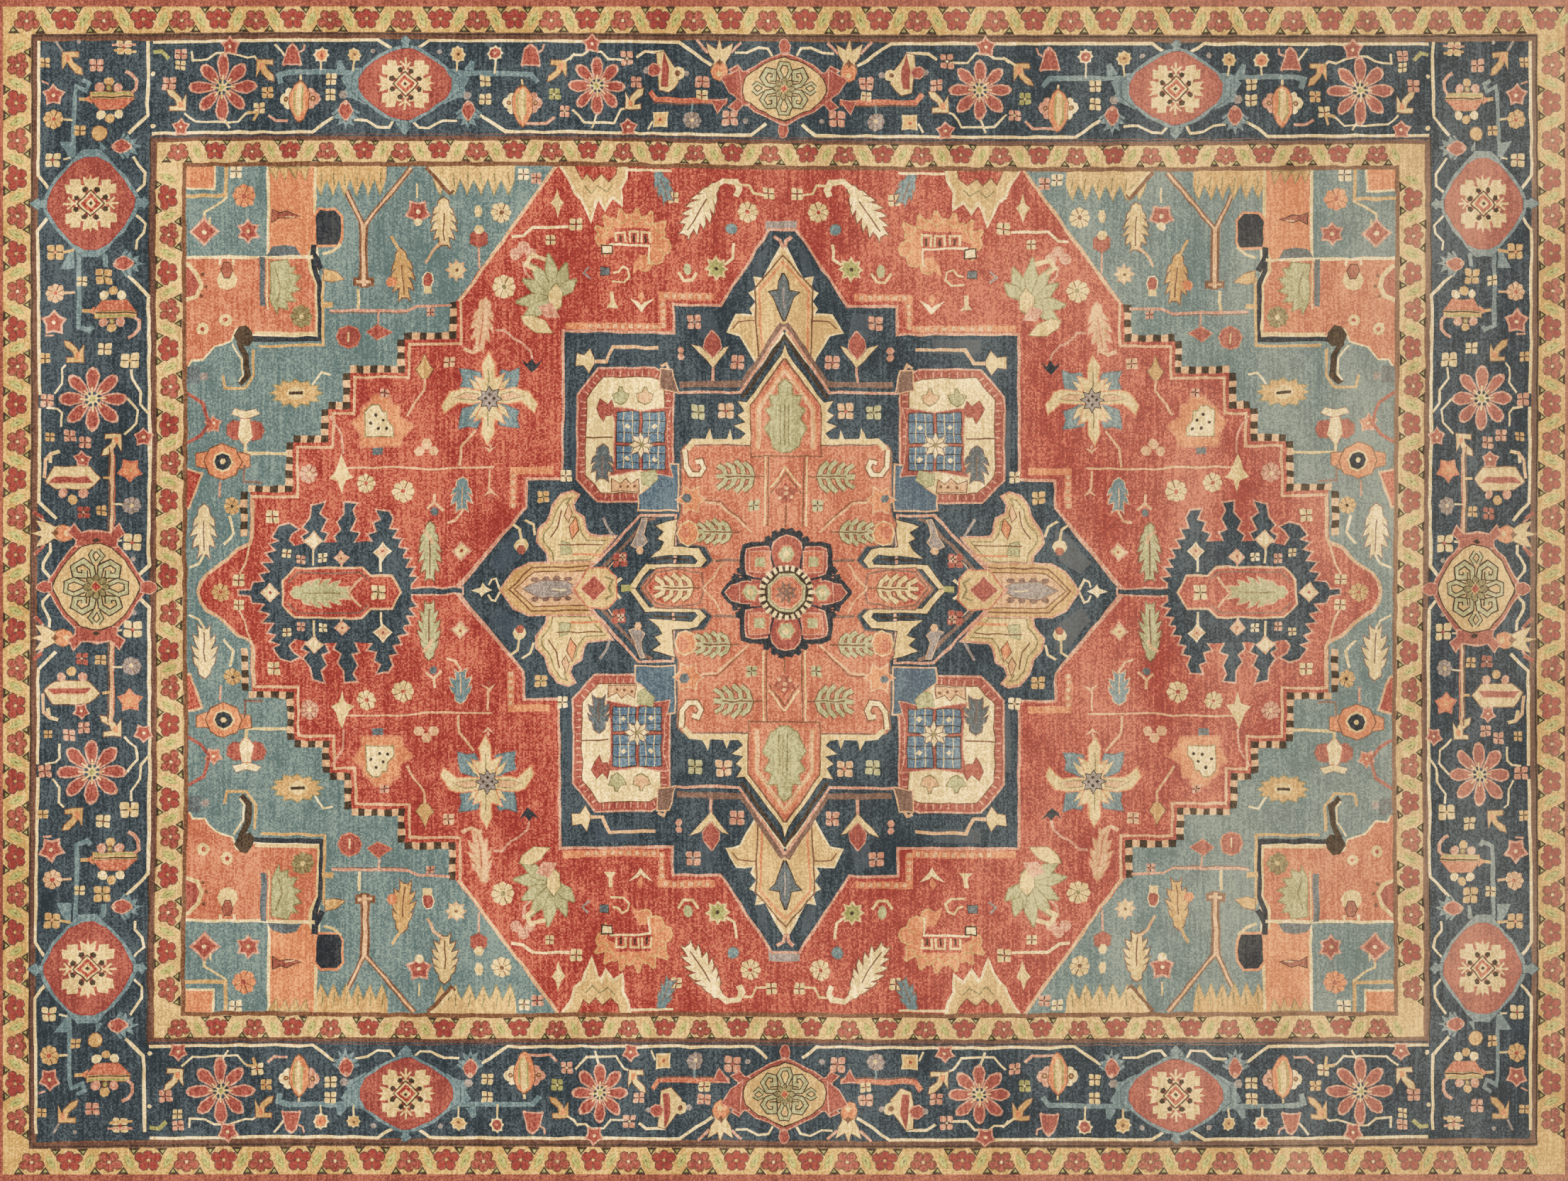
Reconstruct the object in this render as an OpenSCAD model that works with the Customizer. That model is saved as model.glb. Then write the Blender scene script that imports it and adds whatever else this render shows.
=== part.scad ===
// Hand-knotted area rug with a stepped medallion, laid flat on the floor.
// The pile is a fitted mosaic of dyed zones, tied onto one cotton foundation.
// X runs along the warps, Y across the rug, and Z is up from the floor.

/* [Rug] */
// Length of the pile along the warps, without the woven ends and the fringe
pile_length = 3654; // [3000:2:4400]
// Width of the pile across the warps, without the side cords
pile_width = 2742; // [2280:2:3300]
// Thickness of the cotton foundation, warps and wefts together
foundation_thickness = 3; // [2:0.5:5]
// Height of the wool pile above the foundation
pile_height = 8; // [4:0.5:14]

/* [Borders] */
// Width of the plain red band along all four edges
red_band_w = 20; // [12:1:40]
// Width of the gold guard border outside the main border
outer_guard_w = 62; // [40:1:80]
// Width of the maroon stripe between the outer guard and the main border
outer_stripe_w = 14; // [8:1:24]
// Width of the navy main border along the two ends
main_border_end_w = 250; // [180:1:300]
// Width of the navy main border along the two sides
main_border_side_w = 223; // [160:1:270]
// Width of the maroon stripe inside the main border
inner_stripe_w = 13; // [8:1:24]
// Width of the gold inner guard along the two ends
inner_guard_end_w = 62; // [40:1:80]
// Width of the gold inner guard along the two sides
inner_guard_side_w = 52; // [40:1:80]
// Width of the dark line that frames the field
field_line_w = 10; // [6:1:20]

/* [Field corners, in squares of the field's chart] */
// Chart squares from the centre of the field to its end
chart_half_length = 425; // [400:1:500]
// Chart squares from the centre of the field to its side
chart_half_width = 297; // [280:1:350]
// Run and rise of the sloping edge of a corner
corner_slope = [71, 97]; // each value 60 to 100
// Run of each step of a corner, from the slope to the bay
corner_step_runs = [35, 38, 15, 25, 30]; // each value 10 to 40
// Rise of each step of a corner, as parts of the whole rise from the bay's wall to the slope
corner_step_rises = [24, 23, 25, 23, 35]; // each value 15 to 36
// Distance from the bay's mouth to the end of the field
bay_mouth = 50; // [45:1:60]
// Radius of the round red bay at each end of the field
bay_radius = 37; // [25:1:42]
// Height of the bay's straight wall, between the lowest step and the bay's round end
bay_wall = 33; // [20:1:45]

/* [Medallion, in squares of the field's chart] */
// Half length of the medallion, centre to point
medallion_half_length = 233; // [194:1:285]
// Gap between the medallion's blunt point and the side of the field
medallion_side_gap = 43; // [20:1:70]
// Half width of the medallion's blunt points
medallion_point = 9; // [4:1:14]
// Half length and half width of the medallion's square shoulders
medallion_shoulder = [161, 181]; // 140 to 190
// Start and end of the step behind a blunt point, and its height
blunt_step = [43, 77, 20]; // start 30 to 60, end 65 to 90, height 10 to 30
// Start and end of the step behind a long point, and its length
long_step = [57, 77, 28]; // start 30 to 60, end 65 to 90, length 10 to 32
// Half length and half width of the heart's body
heart_body = [74, 101]; // length 55 to 85, width 60 to 115
// Half width of the heart's arms
heart_arm_half_width = 25; // [15:1:40]
// Length of a heart arm's straight side, and of its point
heart_arm_lengths = [30, 37]; // each value 15 to 40
// Distance from the medallion's long axis to a panel
panel_start = 57; // [40:1:80]
// Gap between a panel and the heart beside it
panel_heart_gap = 3; // [2:1:12]
// Gaps between a panel and the medallion's shoulder, along and across the rug
panel_shoulder_gap = [15, 24]; // each value 5 to 35
// Length of a panel's cut corners
panel_chamfer = 14; // [6:1:24]
// Radius from the rosette's centre to its lobes' centres
rosette_reach = 28; // [22:1:36]
// Radius of one lobe of the rosette
rosette_lobe = 16; // [13:1:20]
// Number of lobes round the rosette
rosette_lobes = 8; // [6:1:12]

/* [Pendants, in squares of the field's chart] */
// Gap between the medallion's point and a pendant's inner point
pendant_inner_gap = 33; // [15:1:50]
// Gap between a pendant's outer point and the end of the field
pendant_end_gap = 43; // [30:1:60]
// Gap between a pendant's leaves and the lowest step of the corners
pendant_side_gap = 8; // [4:1:20]
// Length of a pendant's plain pointed ends
pendant_taper = 12; // [8:1:20]
// Number of notched leaves along each long side of a pendant
pendant_leaves = 3; // [2:1:4]

/* [Edges] */
// Diameter of the cord of warps inside each side edge
selvedge_core_d = 5; // [3:0.5:6]
// Thickness of the wool that wraps each side cord
selvedge_wrap_t = 2; // [1:0.5:3]
// Width of the flat on each side cord, where it is sewn to the foundation
selvedge_seat_w = 3; // [2:0.5:4]
// Width of the flat-woven cotton band at each end
kilim_w = 22; // [12:1:40]
// Thickness of the flat-woven bands
kilim_thickness = 2.5; // [1.5:0.5:4]
// Diameter of the twined cord that locks the last wefts
twine_d = 4; // [3:0.5:6]
// Width of the flats on the twined cord, where it meets the band and the tassels
twine_seat_w = 2; // [1:0.5:2.5]
// Length of the fringe beyond the twined cord
fringe_length = 70; // [40:1:120]
// Spacing of the fringe's tassels
tassel_pitch = 12; // [9:0.5:20]
// Diameter of one tassel
tassel_d = 5; // [3:0.5:7]

/* [Hidden] */
$fn = 48;
half_length = pile_length / 2;
half_width = pile_width / 2;

// Distance from the rug's edge to the outside of each border, along the ends (X) and the sides (Y)
end_1 = red_band_w;
end_2 = end_1 + outer_guard_w;
end_3 = end_2 + outer_stripe_w;
end_4 = end_3 + main_border_end_w;
end_5 = end_4 + inner_stripe_w;
end_6 = end_5 + inner_guard_end_w;
side_1 = red_band_w;
side_2 = side_1 + outer_guard_w;
side_3 = side_2 + outer_stripe_w;
side_4 = side_3 + main_border_side_w;
side_5 = side_4 + inner_stripe_w;
side_6 = side_5 + inner_guard_side_w;
field_half_length = half_length - end_6 - field_line_w;
field_half_width = half_width - side_6 - field_line_w;

// One square of the field's chart
square_x = field_half_length / chart_half_length;
square_y = field_half_width / chart_half_width;

selvedge_r = selvedge_core_d / 2 + selvedge_wrap_t;
selvedge_offset = sqrt(pow(selvedge_r, 2) - pow(selvedge_seat_w / 2, 2));
twine_r = twine_d / 2;
twine_offset = sqrt(pow(twine_r, 2) - pow(twine_seat_w / 2, 2));
fringe_start = half_length + kilim_w + 2 * twine_offset;
tassel_count = floor((pile_width - tassel_d) / tassel_pitch);
cut = 1;

// Where a corner's steps start, under its slope, and how far they come down to the bay's wall
steps_x = chart_half_length - bay_mouth - sum_to(corner_step_runs, len(corner_step_runs));
steps_y = chart_half_width - corner_slope[1];
lowest_step = bay_radius + bay_wall;
rise_scale = (steps_y - lowest_step) / sum_to(corner_step_rises, len(corner_step_rises));

// The medallion's width, and the box that holds one panel
medallion_half_width = chart_half_width - medallion_side_gap;
panel_low = [heart_body[0] + panel_heart_gap, panel_start];
panel_high = medallion_shoulder - panel_shoulder_gap;

// A pendant fills the way from the medallion's point to the end of the field, less its gaps
pendant_inner = medallion_half_length + pendant_inner_gap;
pendant_outer = chart_half_length - pendant_end_gap;
pendant_half_width = lowest_step - pendant_side_gap;

// ---- helpers ----

// Sum of the first n values of a list
function sum_to(list, n) = n <= 0 ? 0 : list[n - 1] + sum_to(list, n - 1);

// Points mirrored in X, points mirrored in Y, and a list turned end for end
function mirror_x(points) = [for (p = points) [-p[0], p[1]]];
function mirror_y(points) = [for (p = points) [p[0], -p[1]]];
function reversed(list) = [for (i = [len(list) - 1:-1:0]) list[i]];

// Tufts the outline up to the pile's full height
module pile() {
    translate([0, 0, foundation_thickness]) linear_extrude(pile_height) children();
}

// Turns chart squares into millimetres
module on_chart() {
    scale([square_x, square_y]) children();
}

// One strip along an end, from one inset to the next. It runs through the corners.
module end_strip(side, outer, inner, reach) {
    low = side > 0 ? half_length - inner : -half_length + outer;
    pile() translate([low, -half_width + reach]) square([inner - outer, pile_width - 2 * reach]);
}

// One strip along a side, from one inset to the next. It butts against the end strips.
module side_strip(side, outer, inner, reach) {
    low = side > 0 ? half_width - inner : -half_width + outer;
    pile() translate([-half_length + reach, low]) square([pile_length - 2 * reach, inner - outer]);
}

// ---- the foundation and the edges ----

module foundation() {
    color("linen") translate([-half_length, -half_width, 0])
        cube([pile_length, pile_width, foundation_thickness]);
}

// The straight line of a side cord, as a round bar
module selvedge_bar(side, radius, past) {
    translate([-half_length - past, side * (half_width + selvedge_offset), selvedge_r])
        rotate([0, 90, 0]) cylinder(r = radius, h = pile_length + 2 * past);
}

module selvedge_core(side) {
    color("ivory") selvedge_bar(side, selvedge_core_d / 2, 0);
}

module selvedge_wrap(side) {
    color("firebrick") difference() {
        selvedge_bar(side, selvedge_r, 0);
        selvedge_bar(side, selvedge_core_d / 2, cut);
        translate([-half_length - cut, side > 0 ? half_width - selvedge_r : -half_width, -cut])
            cube([pile_length + 2 * cut, selvedge_r, 2 * selvedge_r + 2 * cut]);
    }
}

module kilim_end(side) {
    low = side > 0 ? half_length : -half_length - kilim_w;
    color("wheat") translate([low, -half_width, 0]) cube([kilim_w, pile_width, kilim_thickness]);
}

module twined_cord(side) {
    centre = side * (half_length + kilim_w + twine_offset);
    color("ivory") intersection() {
        translate([centre, -half_width, twine_r]) rotate([-90, 0, 0]) cylinder(r = twine_r, h = pile_width);
        translate([centre - twine_offset, -half_width - cut, -cut])
            cube([2 * twine_offset, pile_width + 2 * cut, twine_d + 2 * cut]);
    }
}

module fringe(side) {
    first = -(tassel_count - 1) * tassel_pitch / 2;
    low = side > 0 ? fringe_start : -fringe_start - fringe_length;
    color("ivory") for (i = [0:tassel_count - 1])
        translate([low, first + i * tassel_pitch, tassel_d / 2]) rotate([0, 90, 0])
            cylinder(d = tassel_d, h = fringe_length);
}

// ---- the borders ----

module red_band_end(side) { color("indianred") end_strip(side, 0, end_1, 0); }
module red_band_side(side) { color("indianred") side_strip(side, 0, side_1, end_1); }
module outer_guard_end(side) { color("goldenrod") end_strip(side, end_1, end_2, side_1); }
module outer_guard_side(side) { color("goldenrod") side_strip(side, side_1, side_2, end_2); }
module outer_stripe_end(side) { color("maroon") end_strip(side, end_2, end_3, side_2); }
module outer_stripe_side(side) { color("maroon") side_strip(side, side_2, side_3, end_3); }
module main_border_end(side) { color("midnightblue") end_strip(side, end_3, end_4, side_3); }
module main_border_side(side) { color("midnightblue") side_strip(side, side_3, side_4, end_4); }
module inner_stripe_end(side) { color("maroon") end_strip(side, end_4, end_5, side_4); }
module inner_stripe_side(side) { color("maroon") side_strip(side, side_4, side_5, end_5); }
module inner_guard_end(side) { color("goldenrod") end_strip(side, end_5, end_6, side_5); }
module inner_guard_side(side) { color("goldenrod") side_strip(side, side_5, side_6, end_6); }
module field_line_end(side) { color("saddlebrown") end_strip(side, end_6, end_6 + field_line_w, side_6); }
module field_line_side(side) {
    color("saddlebrown") side_strip(side, side_6, side_6 + field_line_w, end_6 + field_line_w);
}

// ---- the field, its corners and its pendants ----

// A corner of the field: a slope, then steps, then the wall of the round bay
module corner_outline() {
    steps = [for (i = [0:len(corner_step_rises)], j = [0, 1])
        if (i < len(corner_step_rises) || j == 0)
            [steps_x + sum_to(corner_step_runs, i), steps_y - rise_scale * sum_to(corner_step_rises, i + j)]];
    bay = [for (a = [90:-7.5:0])
        [chart_half_length - bay_mouth + bay_radius * cos(a), bay_radius * sin(a)]];
    polygon(concat(
        [[chart_half_length, 0], [chart_half_length, chart_half_width],
         [steps_x - corner_slope[0], chart_half_width]],
        steps, bay
    ));
}

module corner_at(side_x, side_y) {
    color("steelblue") pile() on_chart() scale([side_x, side_y]) corner_outline();
}

// A pendant: a cartouche between two notched rows of leaves
module pendant_outline() {
    leaf_pitch = (pendant_outer - pendant_inner - 2 * pendant_taper) / pendant_leaves;
    leaf = [[0.1, 0.5], [0.25, 1], [0.75, 1], [0.9, 0.5]];
    leaves = [for (i = [0:pendant_leaves - 1], p = leaf)
        [pendant_inner + pendant_taper + (i + p[0]) * leaf_pitch, p[1] * pendant_half_width]];
    polygon(concat([[pendant_inner, 0]], leaves, [[pendant_outer, 0]], reversed(mirror_y(leaves))));
}

module pendant_at(side) {
    color("darkslateblue") pile() on_chart() scale([side, 1]) pendant_outline();
}

// ---- the medallion ----

module medallion_outline() {
    x = medallion_shoulder[0];
    y = medallion_shoulder[1];
    steps = [
        [medallion_point, medallion_half_width],
        [blunt_step[0], y + blunt_step[2]], [blunt_step[1], y + blunt_step[2]], [blunt_step[1], y], [x, y],
        [x, long_step[1]], [x + long_step[2], long_step[1]], [x + long_step[2], long_step[0]]
    ];
    polygon(concat(
        steps, [[medallion_half_length, 0]], reversed(mirror_y(steps)),
        mirror_x(mirror_y(steps)), [[-medallion_half_length, 0]], reversed(mirror_x(steps))
    ));
}

// One octagonal panel in a quarter of the medallion
module panel_outline() {
    c = panel_chamfer;
    polygon([
        [panel_low[0] + c, panel_low[1]], [panel_high[0] - c, panel_low[1]],
        [panel_high[0], panel_low[1] + c], [panel_high[0], panel_high[1] - c],
        [panel_high[0] - c, panel_high[1]], [panel_low[0] + c, panel_high[1]],
        [panel_low[0], panel_high[1] - c], [panel_low[0], panel_low[1] + c]
    ]);
}

module panel_at(side_x, side_y) {
    color("wheat") pile() on_chart() scale([side_x, side_y]) panel_outline();
}

// The salmon heart of the medallion: a body with a pointed arm at its front and back
module heart_outline() {
    arm_end = heart_body[1] + heart_arm_lengths[0];
    steps = [[heart_arm_half_width, arm_end], [heart_arm_half_width, heart_body[1]], heart_body];
    tip = [0, arm_end + heart_arm_lengths[1]];
    polygon(concat([tip], steps, reversed(mirror_y(steps)), [-tip], mirror_x(mirror_y(steps)),
                   reversed(mirror_x(steps))));
}

module rosette_outline() {
    circle(rosette_reach);
    for (i = [0:rosette_lobes - 1])
        rotate(i * 360 / rosette_lobes) translate([rosette_reach, 0]) circle(rosette_lobe);
}

module medallion_ground() {
    color("midnightblue") pile() on_chart() difference() {
        medallion_outline();
        heart_outline();
        for (x = [-1, 1], y = [-1, 1]) scale([x, y]) panel_outline();
    }
}

module medallion_heart() {
    color("salmon") pile() on_chart() difference() {
        heart_outline();
        rosette_outline();
    }
}

module centre_rosette() {
    color("brown") pile() on_chart() rosette_outline();
}

module field_ground() {
    color("indianred") pile() difference() {
        square([2 * field_half_length, 2 * field_half_width], center = true);
        on_chart() {
            medallion_outline();
            for (x = [-1, 1], y = [-1, 1]) scale([x, y]) corner_outline();
            for (x = [-1, 1]) scale([x, 1]) pendant_outline();
        }
    }
}

foundation();
selvedge_core(-1);  // selvedge_core_front
selvedge_core(1);  // selvedge_core_back
selvedge_wrap(-1);  // selvedge_wrap_front
selvedge_wrap(1);  // selvedge_wrap_back
kilim_end(-1);  // kilim_end_left
kilim_end(1);  // kilim_end_right
twined_cord(-1);  // twined_cord_left
twined_cord(1);  // twined_cord_right
fringe(-1);  // fringe_left
fringe(1);  // fringe_right
red_band_end(-1);  // red_band_left
red_band_end(1);  // red_band_right
red_band_side(-1);  // red_band_front
red_band_side(1);  // red_band_back
outer_guard_end(-1);  // outer_guard_left
outer_guard_end(1);  // outer_guard_right
outer_guard_side(-1);  // outer_guard_front
outer_guard_side(1);  // outer_guard_back
outer_stripe_end(-1);  // outer_stripe_left
outer_stripe_end(1);  // outer_stripe_right
outer_stripe_side(-1);  // outer_stripe_front
outer_stripe_side(1);  // outer_stripe_back
main_border_end(-1);  // main_border_left
main_border_end(1);  // main_border_right
main_border_side(-1);  // main_border_front
main_border_side(1);  // main_border_back
inner_stripe_end(-1);  // inner_stripe_left
inner_stripe_end(1);  // inner_stripe_right
inner_stripe_side(-1);  // inner_stripe_front
inner_stripe_side(1);  // inner_stripe_back
inner_guard_end(-1);  // inner_guard_left
inner_guard_end(1);  // inner_guard_right
inner_guard_side(-1);  // inner_guard_front
inner_guard_side(1);  // inner_guard_back
field_line_end(-1);  // field_line_left
field_line_end(1);  // field_line_right
field_line_side(-1);  // field_line_front
field_line_side(1);  // field_line_back
field_ground();
corner_at(-1, -1);  // corner_front_left
corner_at(1, -1);  // corner_front_right
corner_at(-1, 1);  // corner_back_left
corner_at(1, 1);  // corner_back_right
pendant_at(-1);  // pendant_left
pendant_at(1);  // pendant_right
medallion_ground();
panel_at(-1, -1);  // panel_front_left
panel_at(1, -1);  // panel_front_right
panel_at(-1, 1);  // panel_back_left
panel_at(1, 1);  // panel_back_right
medallion_heart();
centre_rosette();
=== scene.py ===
"""Hand-knotted area rug: the looks of its pile, edges and fringe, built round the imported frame.

The pile's design is drawn on a weaver's chart, whose unit is one knot. X runs along the warps and Y along the
wefts, from the middle of the rug. Dyed outlines are laid over each other like paper cuttings. The chart is then
divided into one flat mosaic, and each woven zone takes its own part of it as a closed slab of pile.
"""
import math
import random

import bpy
from mathutils import Matrix, Vector, noise
from mathutils.geometry import delaunay_2d_cdt


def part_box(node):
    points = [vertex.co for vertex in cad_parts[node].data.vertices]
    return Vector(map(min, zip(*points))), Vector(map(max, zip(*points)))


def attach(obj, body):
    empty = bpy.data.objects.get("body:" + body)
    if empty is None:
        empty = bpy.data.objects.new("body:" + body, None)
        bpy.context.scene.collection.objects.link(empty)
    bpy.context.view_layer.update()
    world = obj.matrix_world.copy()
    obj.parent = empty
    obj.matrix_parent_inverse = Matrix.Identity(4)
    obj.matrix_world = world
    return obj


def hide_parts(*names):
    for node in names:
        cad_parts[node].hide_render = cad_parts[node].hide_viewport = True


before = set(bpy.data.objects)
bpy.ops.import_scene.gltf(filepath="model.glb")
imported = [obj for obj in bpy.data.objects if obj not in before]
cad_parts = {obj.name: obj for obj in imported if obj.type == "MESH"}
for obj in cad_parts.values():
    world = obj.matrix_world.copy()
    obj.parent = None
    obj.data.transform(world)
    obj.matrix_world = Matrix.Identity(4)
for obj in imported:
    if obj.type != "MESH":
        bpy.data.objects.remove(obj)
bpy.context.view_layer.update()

EVEN = random.Random(7)

# ---- sizes, from the frame ----

FOUNDATION_LOW, FOUNDATION_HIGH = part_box("foundation")
HALF_LENGTH = 557
KNOT = FOUNDATION_HIGH.x / HALF_LENGTH
HALF_WIDTH = FOUNDATION_HIGH.y / KNOT
PILE_LOW = FOUNDATION_HIGH.z
PILE_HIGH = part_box("field_ground")[1].z


def strip_knots(node):
    """The low and high corners of a border strip, in knots."""
    low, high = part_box(node)
    return low.x / KNOT, low.y / KNOT, high.x / KNOT, high.y / KNOT


# ---- the chart ----

# Every outline laid on the chart, bottom first: (dye, points in knots)
SHAPES = []
LONGEST_EDGE = 9


def points(text):
    """Turns "x,y x,y" into a list of points, in knots."""
    return [tuple(float(v) for v in pair.split(",")) for pair in text.split()]


def as_points(outline):
    return points(outline) if isinstance(outline, str) else list(outline)


def both(text):
    """A whole outline from its right half, which runs from top to bottom."""
    half = as_points(text)
    return half + [(-x, y) for x, y in reversed(half)]


def four(text):
    """A whole outline from its upper right quarter, which runs from the top to the right."""
    quarter = as_points(text)
    half = quarter + [(x, -y) for x, y in reversed(quarter)]
    return half + [(-x, y) for x, y in reversed(half)]


def ring(radius, sides=12, x=0, y=0, start=0, sweep=360, tall=1):
    """Points along an arc, or round a whole circle."""
    count = sides if sweep == 360 else sides + 1
    turns = [math.radians(start + sweep * i / sides) for i in range(count)]
    return [(x + radius * math.cos(t), y + tall * radius * math.sin(t)) for t in turns]


def star(count, outer, inner, x=0, y=0, start=90):
    """A star with pointed arms."""
    turns = [(math.radians(start + 180 * i / count), inner if i % 2 else outer) for i in range(2 * count)]
    return [(x + r * math.cos(t), y + r * math.sin(t)) for t, r in turns]


def saw(start, end, teeth, depth, closing=True):
    """A toothed edge from start to end, with its teeth on the left. Each tooth leans towards the end."""
    (x0, y0), (x1, y1) = start, end
    run = math.hypot(x1 - x0, y1 - y0)
    across = (-(y1 - y0) / run * depth, (x1 - x0) / run * depth)
    made = []
    for i in range(teeth):
        for share, rise in ((0, 0), (0.15, 1), (0.7, 1)):
            at = (i + share) / teeth
            made.append((x0 + at * (x1 - x0) + rise * across[0], y0 + at * (y1 - y0) + rise * across[1]))
    return made + ([end] if closing else [])


def offset(path, distance, closed):
    """The path moved sideways by distance, to its left, with mitred corners."""
    count = len(path)
    made = []
    for i, (x, y) in enumerate(path):
        before = path[i - 1] if closed or i else None
        after = path[(i + 1) % count] if closed or i < count - 1 else None
        normals = []
        for (ax, ay), (bx, by) in ([(before, (x, y))] if before else []) + ([((x, y), after)] if after else []):
            length = math.hypot(bx - ax, by - ay) or 1
            normals.append((-(by - ay) / length, (bx - ax) / length))
        nx = sum(n[0] for n in normals)
        ny = sum(n[1] for n in normals)
        size = math.hypot(nx, ny) or 1
        spread = max(size / len(normals), 0.55)
        made.append((x + nx / size * distance / spread, y + ny / size * distance / spread))
    return made


def area(outline):
    """Twice the signed area, which is positive where the outline runs anticlockwise."""
    return sum(x0 * y1 - x1 * y0 for (x0, y0), (x1, y1) in zip(outline, outline[1:] + outline[:1]))


def outset(outline, distance):
    """The outline grown by distance all round."""
    return offset(outline, -distance if area(outline) > 0 else distance, True)


class Pen:
    """Lays dyed outlines on the chart through a placement."""

    def __init__(self, matrix=None):
        self.matrix = matrix or Matrix.Identity(3)

    def at(self, x=0, y=0, turn=0, size=1, flip=1, rise=1):
        """This pen moved to (x, y), turned by degrees, scaled, and mirrored where flip or rise is -1."""
        c, s = math.cos(math.radians(turn)), math.sin(math.radians(turn))
        fx, fy = size * flip, size * rise
        return Pen(self.matrix @ Matrix(((c * fx, -s * fy, x), (s * fx, c * fy, y), (0, 0, 1))))

    def put(self, outline):
        (a, b, c), (d, e, f) = self.matrix[0], self.matrix[1]
        return [(a * x + b * y + c, d * x + e * y + f) for x, y in outline]

    def fill(self, dye, outline, edge=None, width=1):
        """Lays one outline, with a band of another dye round it if edge is given."""
        outline = as_points(outline)
        if edge:
            SHAPES.append((edge, self.put(outset(outline, width))))
        SHAPES.append((dye, self.put(outline)))

    def line(self, dye, path, width=1.6):
        """Lays a thin line along a path."""
        path = as_points(path)
        left = offset(path, width / 2, False)
        right = offset(path, -width / 2, False)
        SHAPES.append((dye, self.put(left + right[::-1])))

    def bands(self, outline, layers):
        """Lays one outline several times, each time further in. layers holds (dye, how far in)."""
        outline = as_points(outline)
        for dye, inset in layers:
            SHAPES.append((dye, self.put(outset(outline, -inset) if inset else outline)))

    def dots(self, dye, radius, places, sides=6):
        for x, y in as_points(places):
            self.fill(dye, ring(radius, sides, x, y))


# ---- small flowers and leaves that the whole rug uses ----

QUARTERS = [(1, 1), (-1, 1), (1, -1), (-1, -1)]


def square_flower(pen, x, y, size=9, dye="straw", heart="rose", tall=1):
    """Four square petals round a small heart."""
    pen = pen.at(x, y)
    for px, py in QUARTERS:
        petal = pen.at(px * size * 0.27, py * size * 0.27 * tall)
        petal.fill(dye, four(f"{size * 0.1},{size * 0.23} {size * 0.21},{size * 0.19} {size * 0.23},{size * 0.08}"))
    pen.line("umber", [(-size * 0.42, 0), (size * 0.42, 0)], 0.8)
    pen.line("umber", [(0, -size * 0.42 * tall), (0, size * 0.42 * tall)], 0.8)
    pen.fill(heart, ring(size * 0.13, 4))


def star_flower(pen, x, y, radius=6, dye="rose", edge="pink", heart="cream", arms=5, start=90):
    pen = pen.at(x, y)
    pen.fill(edge, star(arms, radius * 1.3, radius * 0.85, start=start))
    pen.fill(dye, star(arms, radius * 0.95, radius * 0.65, start=start))
    pen.fill(heart, ring(radius * 0.22, 5))


def sun_flower(pen, x, y, radius=6, dye="gold", heart="madder", petals=8):
    """Parted petals set round a small heart."""
    pen = pen.at(x, y)
    wide = radius * 2.5 / petals
    for i in range(petals):
        petal = both(f"0,{radius * 1.08} {wide},{radius * 0.9} {wide * 0.8},{radius * 0.55} {wide * 0.2},{radius * 0.2}")
        pen.at(turn=360 * i / petals).fill(dye, petal)
        pen.at(turn=360 * (i + 0.5) / petals).line("brown", [(0, radius * 0.25), (0, radius * 0.95)], 0.8)
    pen.fill(dye, ring(radius * 0.34, 8))
    pen.fill(heart, ring(radius * 0.24, 6))


def arrow_flower(pen, x, y, turn=0, flip=1, dye="gold"):
    """A square-shouldered bud with a long slanting tail to its lower right."""
    pen = pen.at(x, y, turn, flip=flip)
    pen.fill(dye, "-6,6 5,6 5,3 0,3 1,-1 6,-5 7,-9 3,-8 -2,-3 -3,0 -6,-6", "brown", 0.6)
    pen.fill("apricot", "-4,4 -1,4 -1,0 -4,-1")


def stem_flower(pen, x, y, foot, radius=4.5, dye="apricot", edge="cream", heart="madder"):
    """A round flower on a straight stem that stands on foot."""
    pen.line(edge, [(x, y), (x, foot)], 1.4)
    pen.fill(edge, star(8, radius * 1.3, radius, x, y))
    pen.fill(dye, ring(radius * 0.85, 8, x, y))
    pen.fill(heart, ring(radius * 0.3, 4, x, y))


def rosette(pen, x, y, reach, petal_width=0.17, wide=1, dye="rose", edge="pink", heart="straw"):
    """Eight long petals round a small star."""
    pen = pen.at(x, y)
    for i in range(8):
        length = reach * (1 if i % 2 else wide)
        half = reach * petal_width
        petal = pen.at(turn=45 * i)
        outline = both(f"0,{length} {half * 0.6},{length * 0.97} {half},{length * 0.78}"
                       f" {half * 0.75},{length * 0.5} {half * 0.3},{length * 0.3}")
        petal.fill(dye, outline, edge, 1.2)
    for i in range(8):
        pen.at(turn=45 * i).line(heart, [(0, 1), (0, reach * 0.42)], 1.3)
    pen.fill(heart, star(8, reach * 0.24, reach * 0.13))
    pen.fill("green", ring(reach * 0.09, 6))


def saw_leaf(pen, length, width, teeth, dye="cream", edge="brown", heart=None):
    """A pointed leaf whose sides are cut into backward teeth, from the pen's place along +Y."""
    half = []
    for i in range(teeth):
        swell = math.sin(math.pi * (i + 0.9) / (teeth + 0.8))
        base = length * i / teeth
        half.append((width * 0.2 * swell + 0.8, base + length * 0.3 / teeth))
        half.append((width * 0.52 * swell + 0.4, base - length * 0.05 / teeth))
        half.append((width * 0.44 * swell + 0.3, base + length * 0.6 / teeth))
    outline = half + [(0, length)] + [(-x, y) for x, y in reversed(half)]
    pen.fill(dye, outline, edge, 0.8)
    pen.line(heart or edge, [(0, length * 0.12), (0, length * 0.7)], 0.9)


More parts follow.
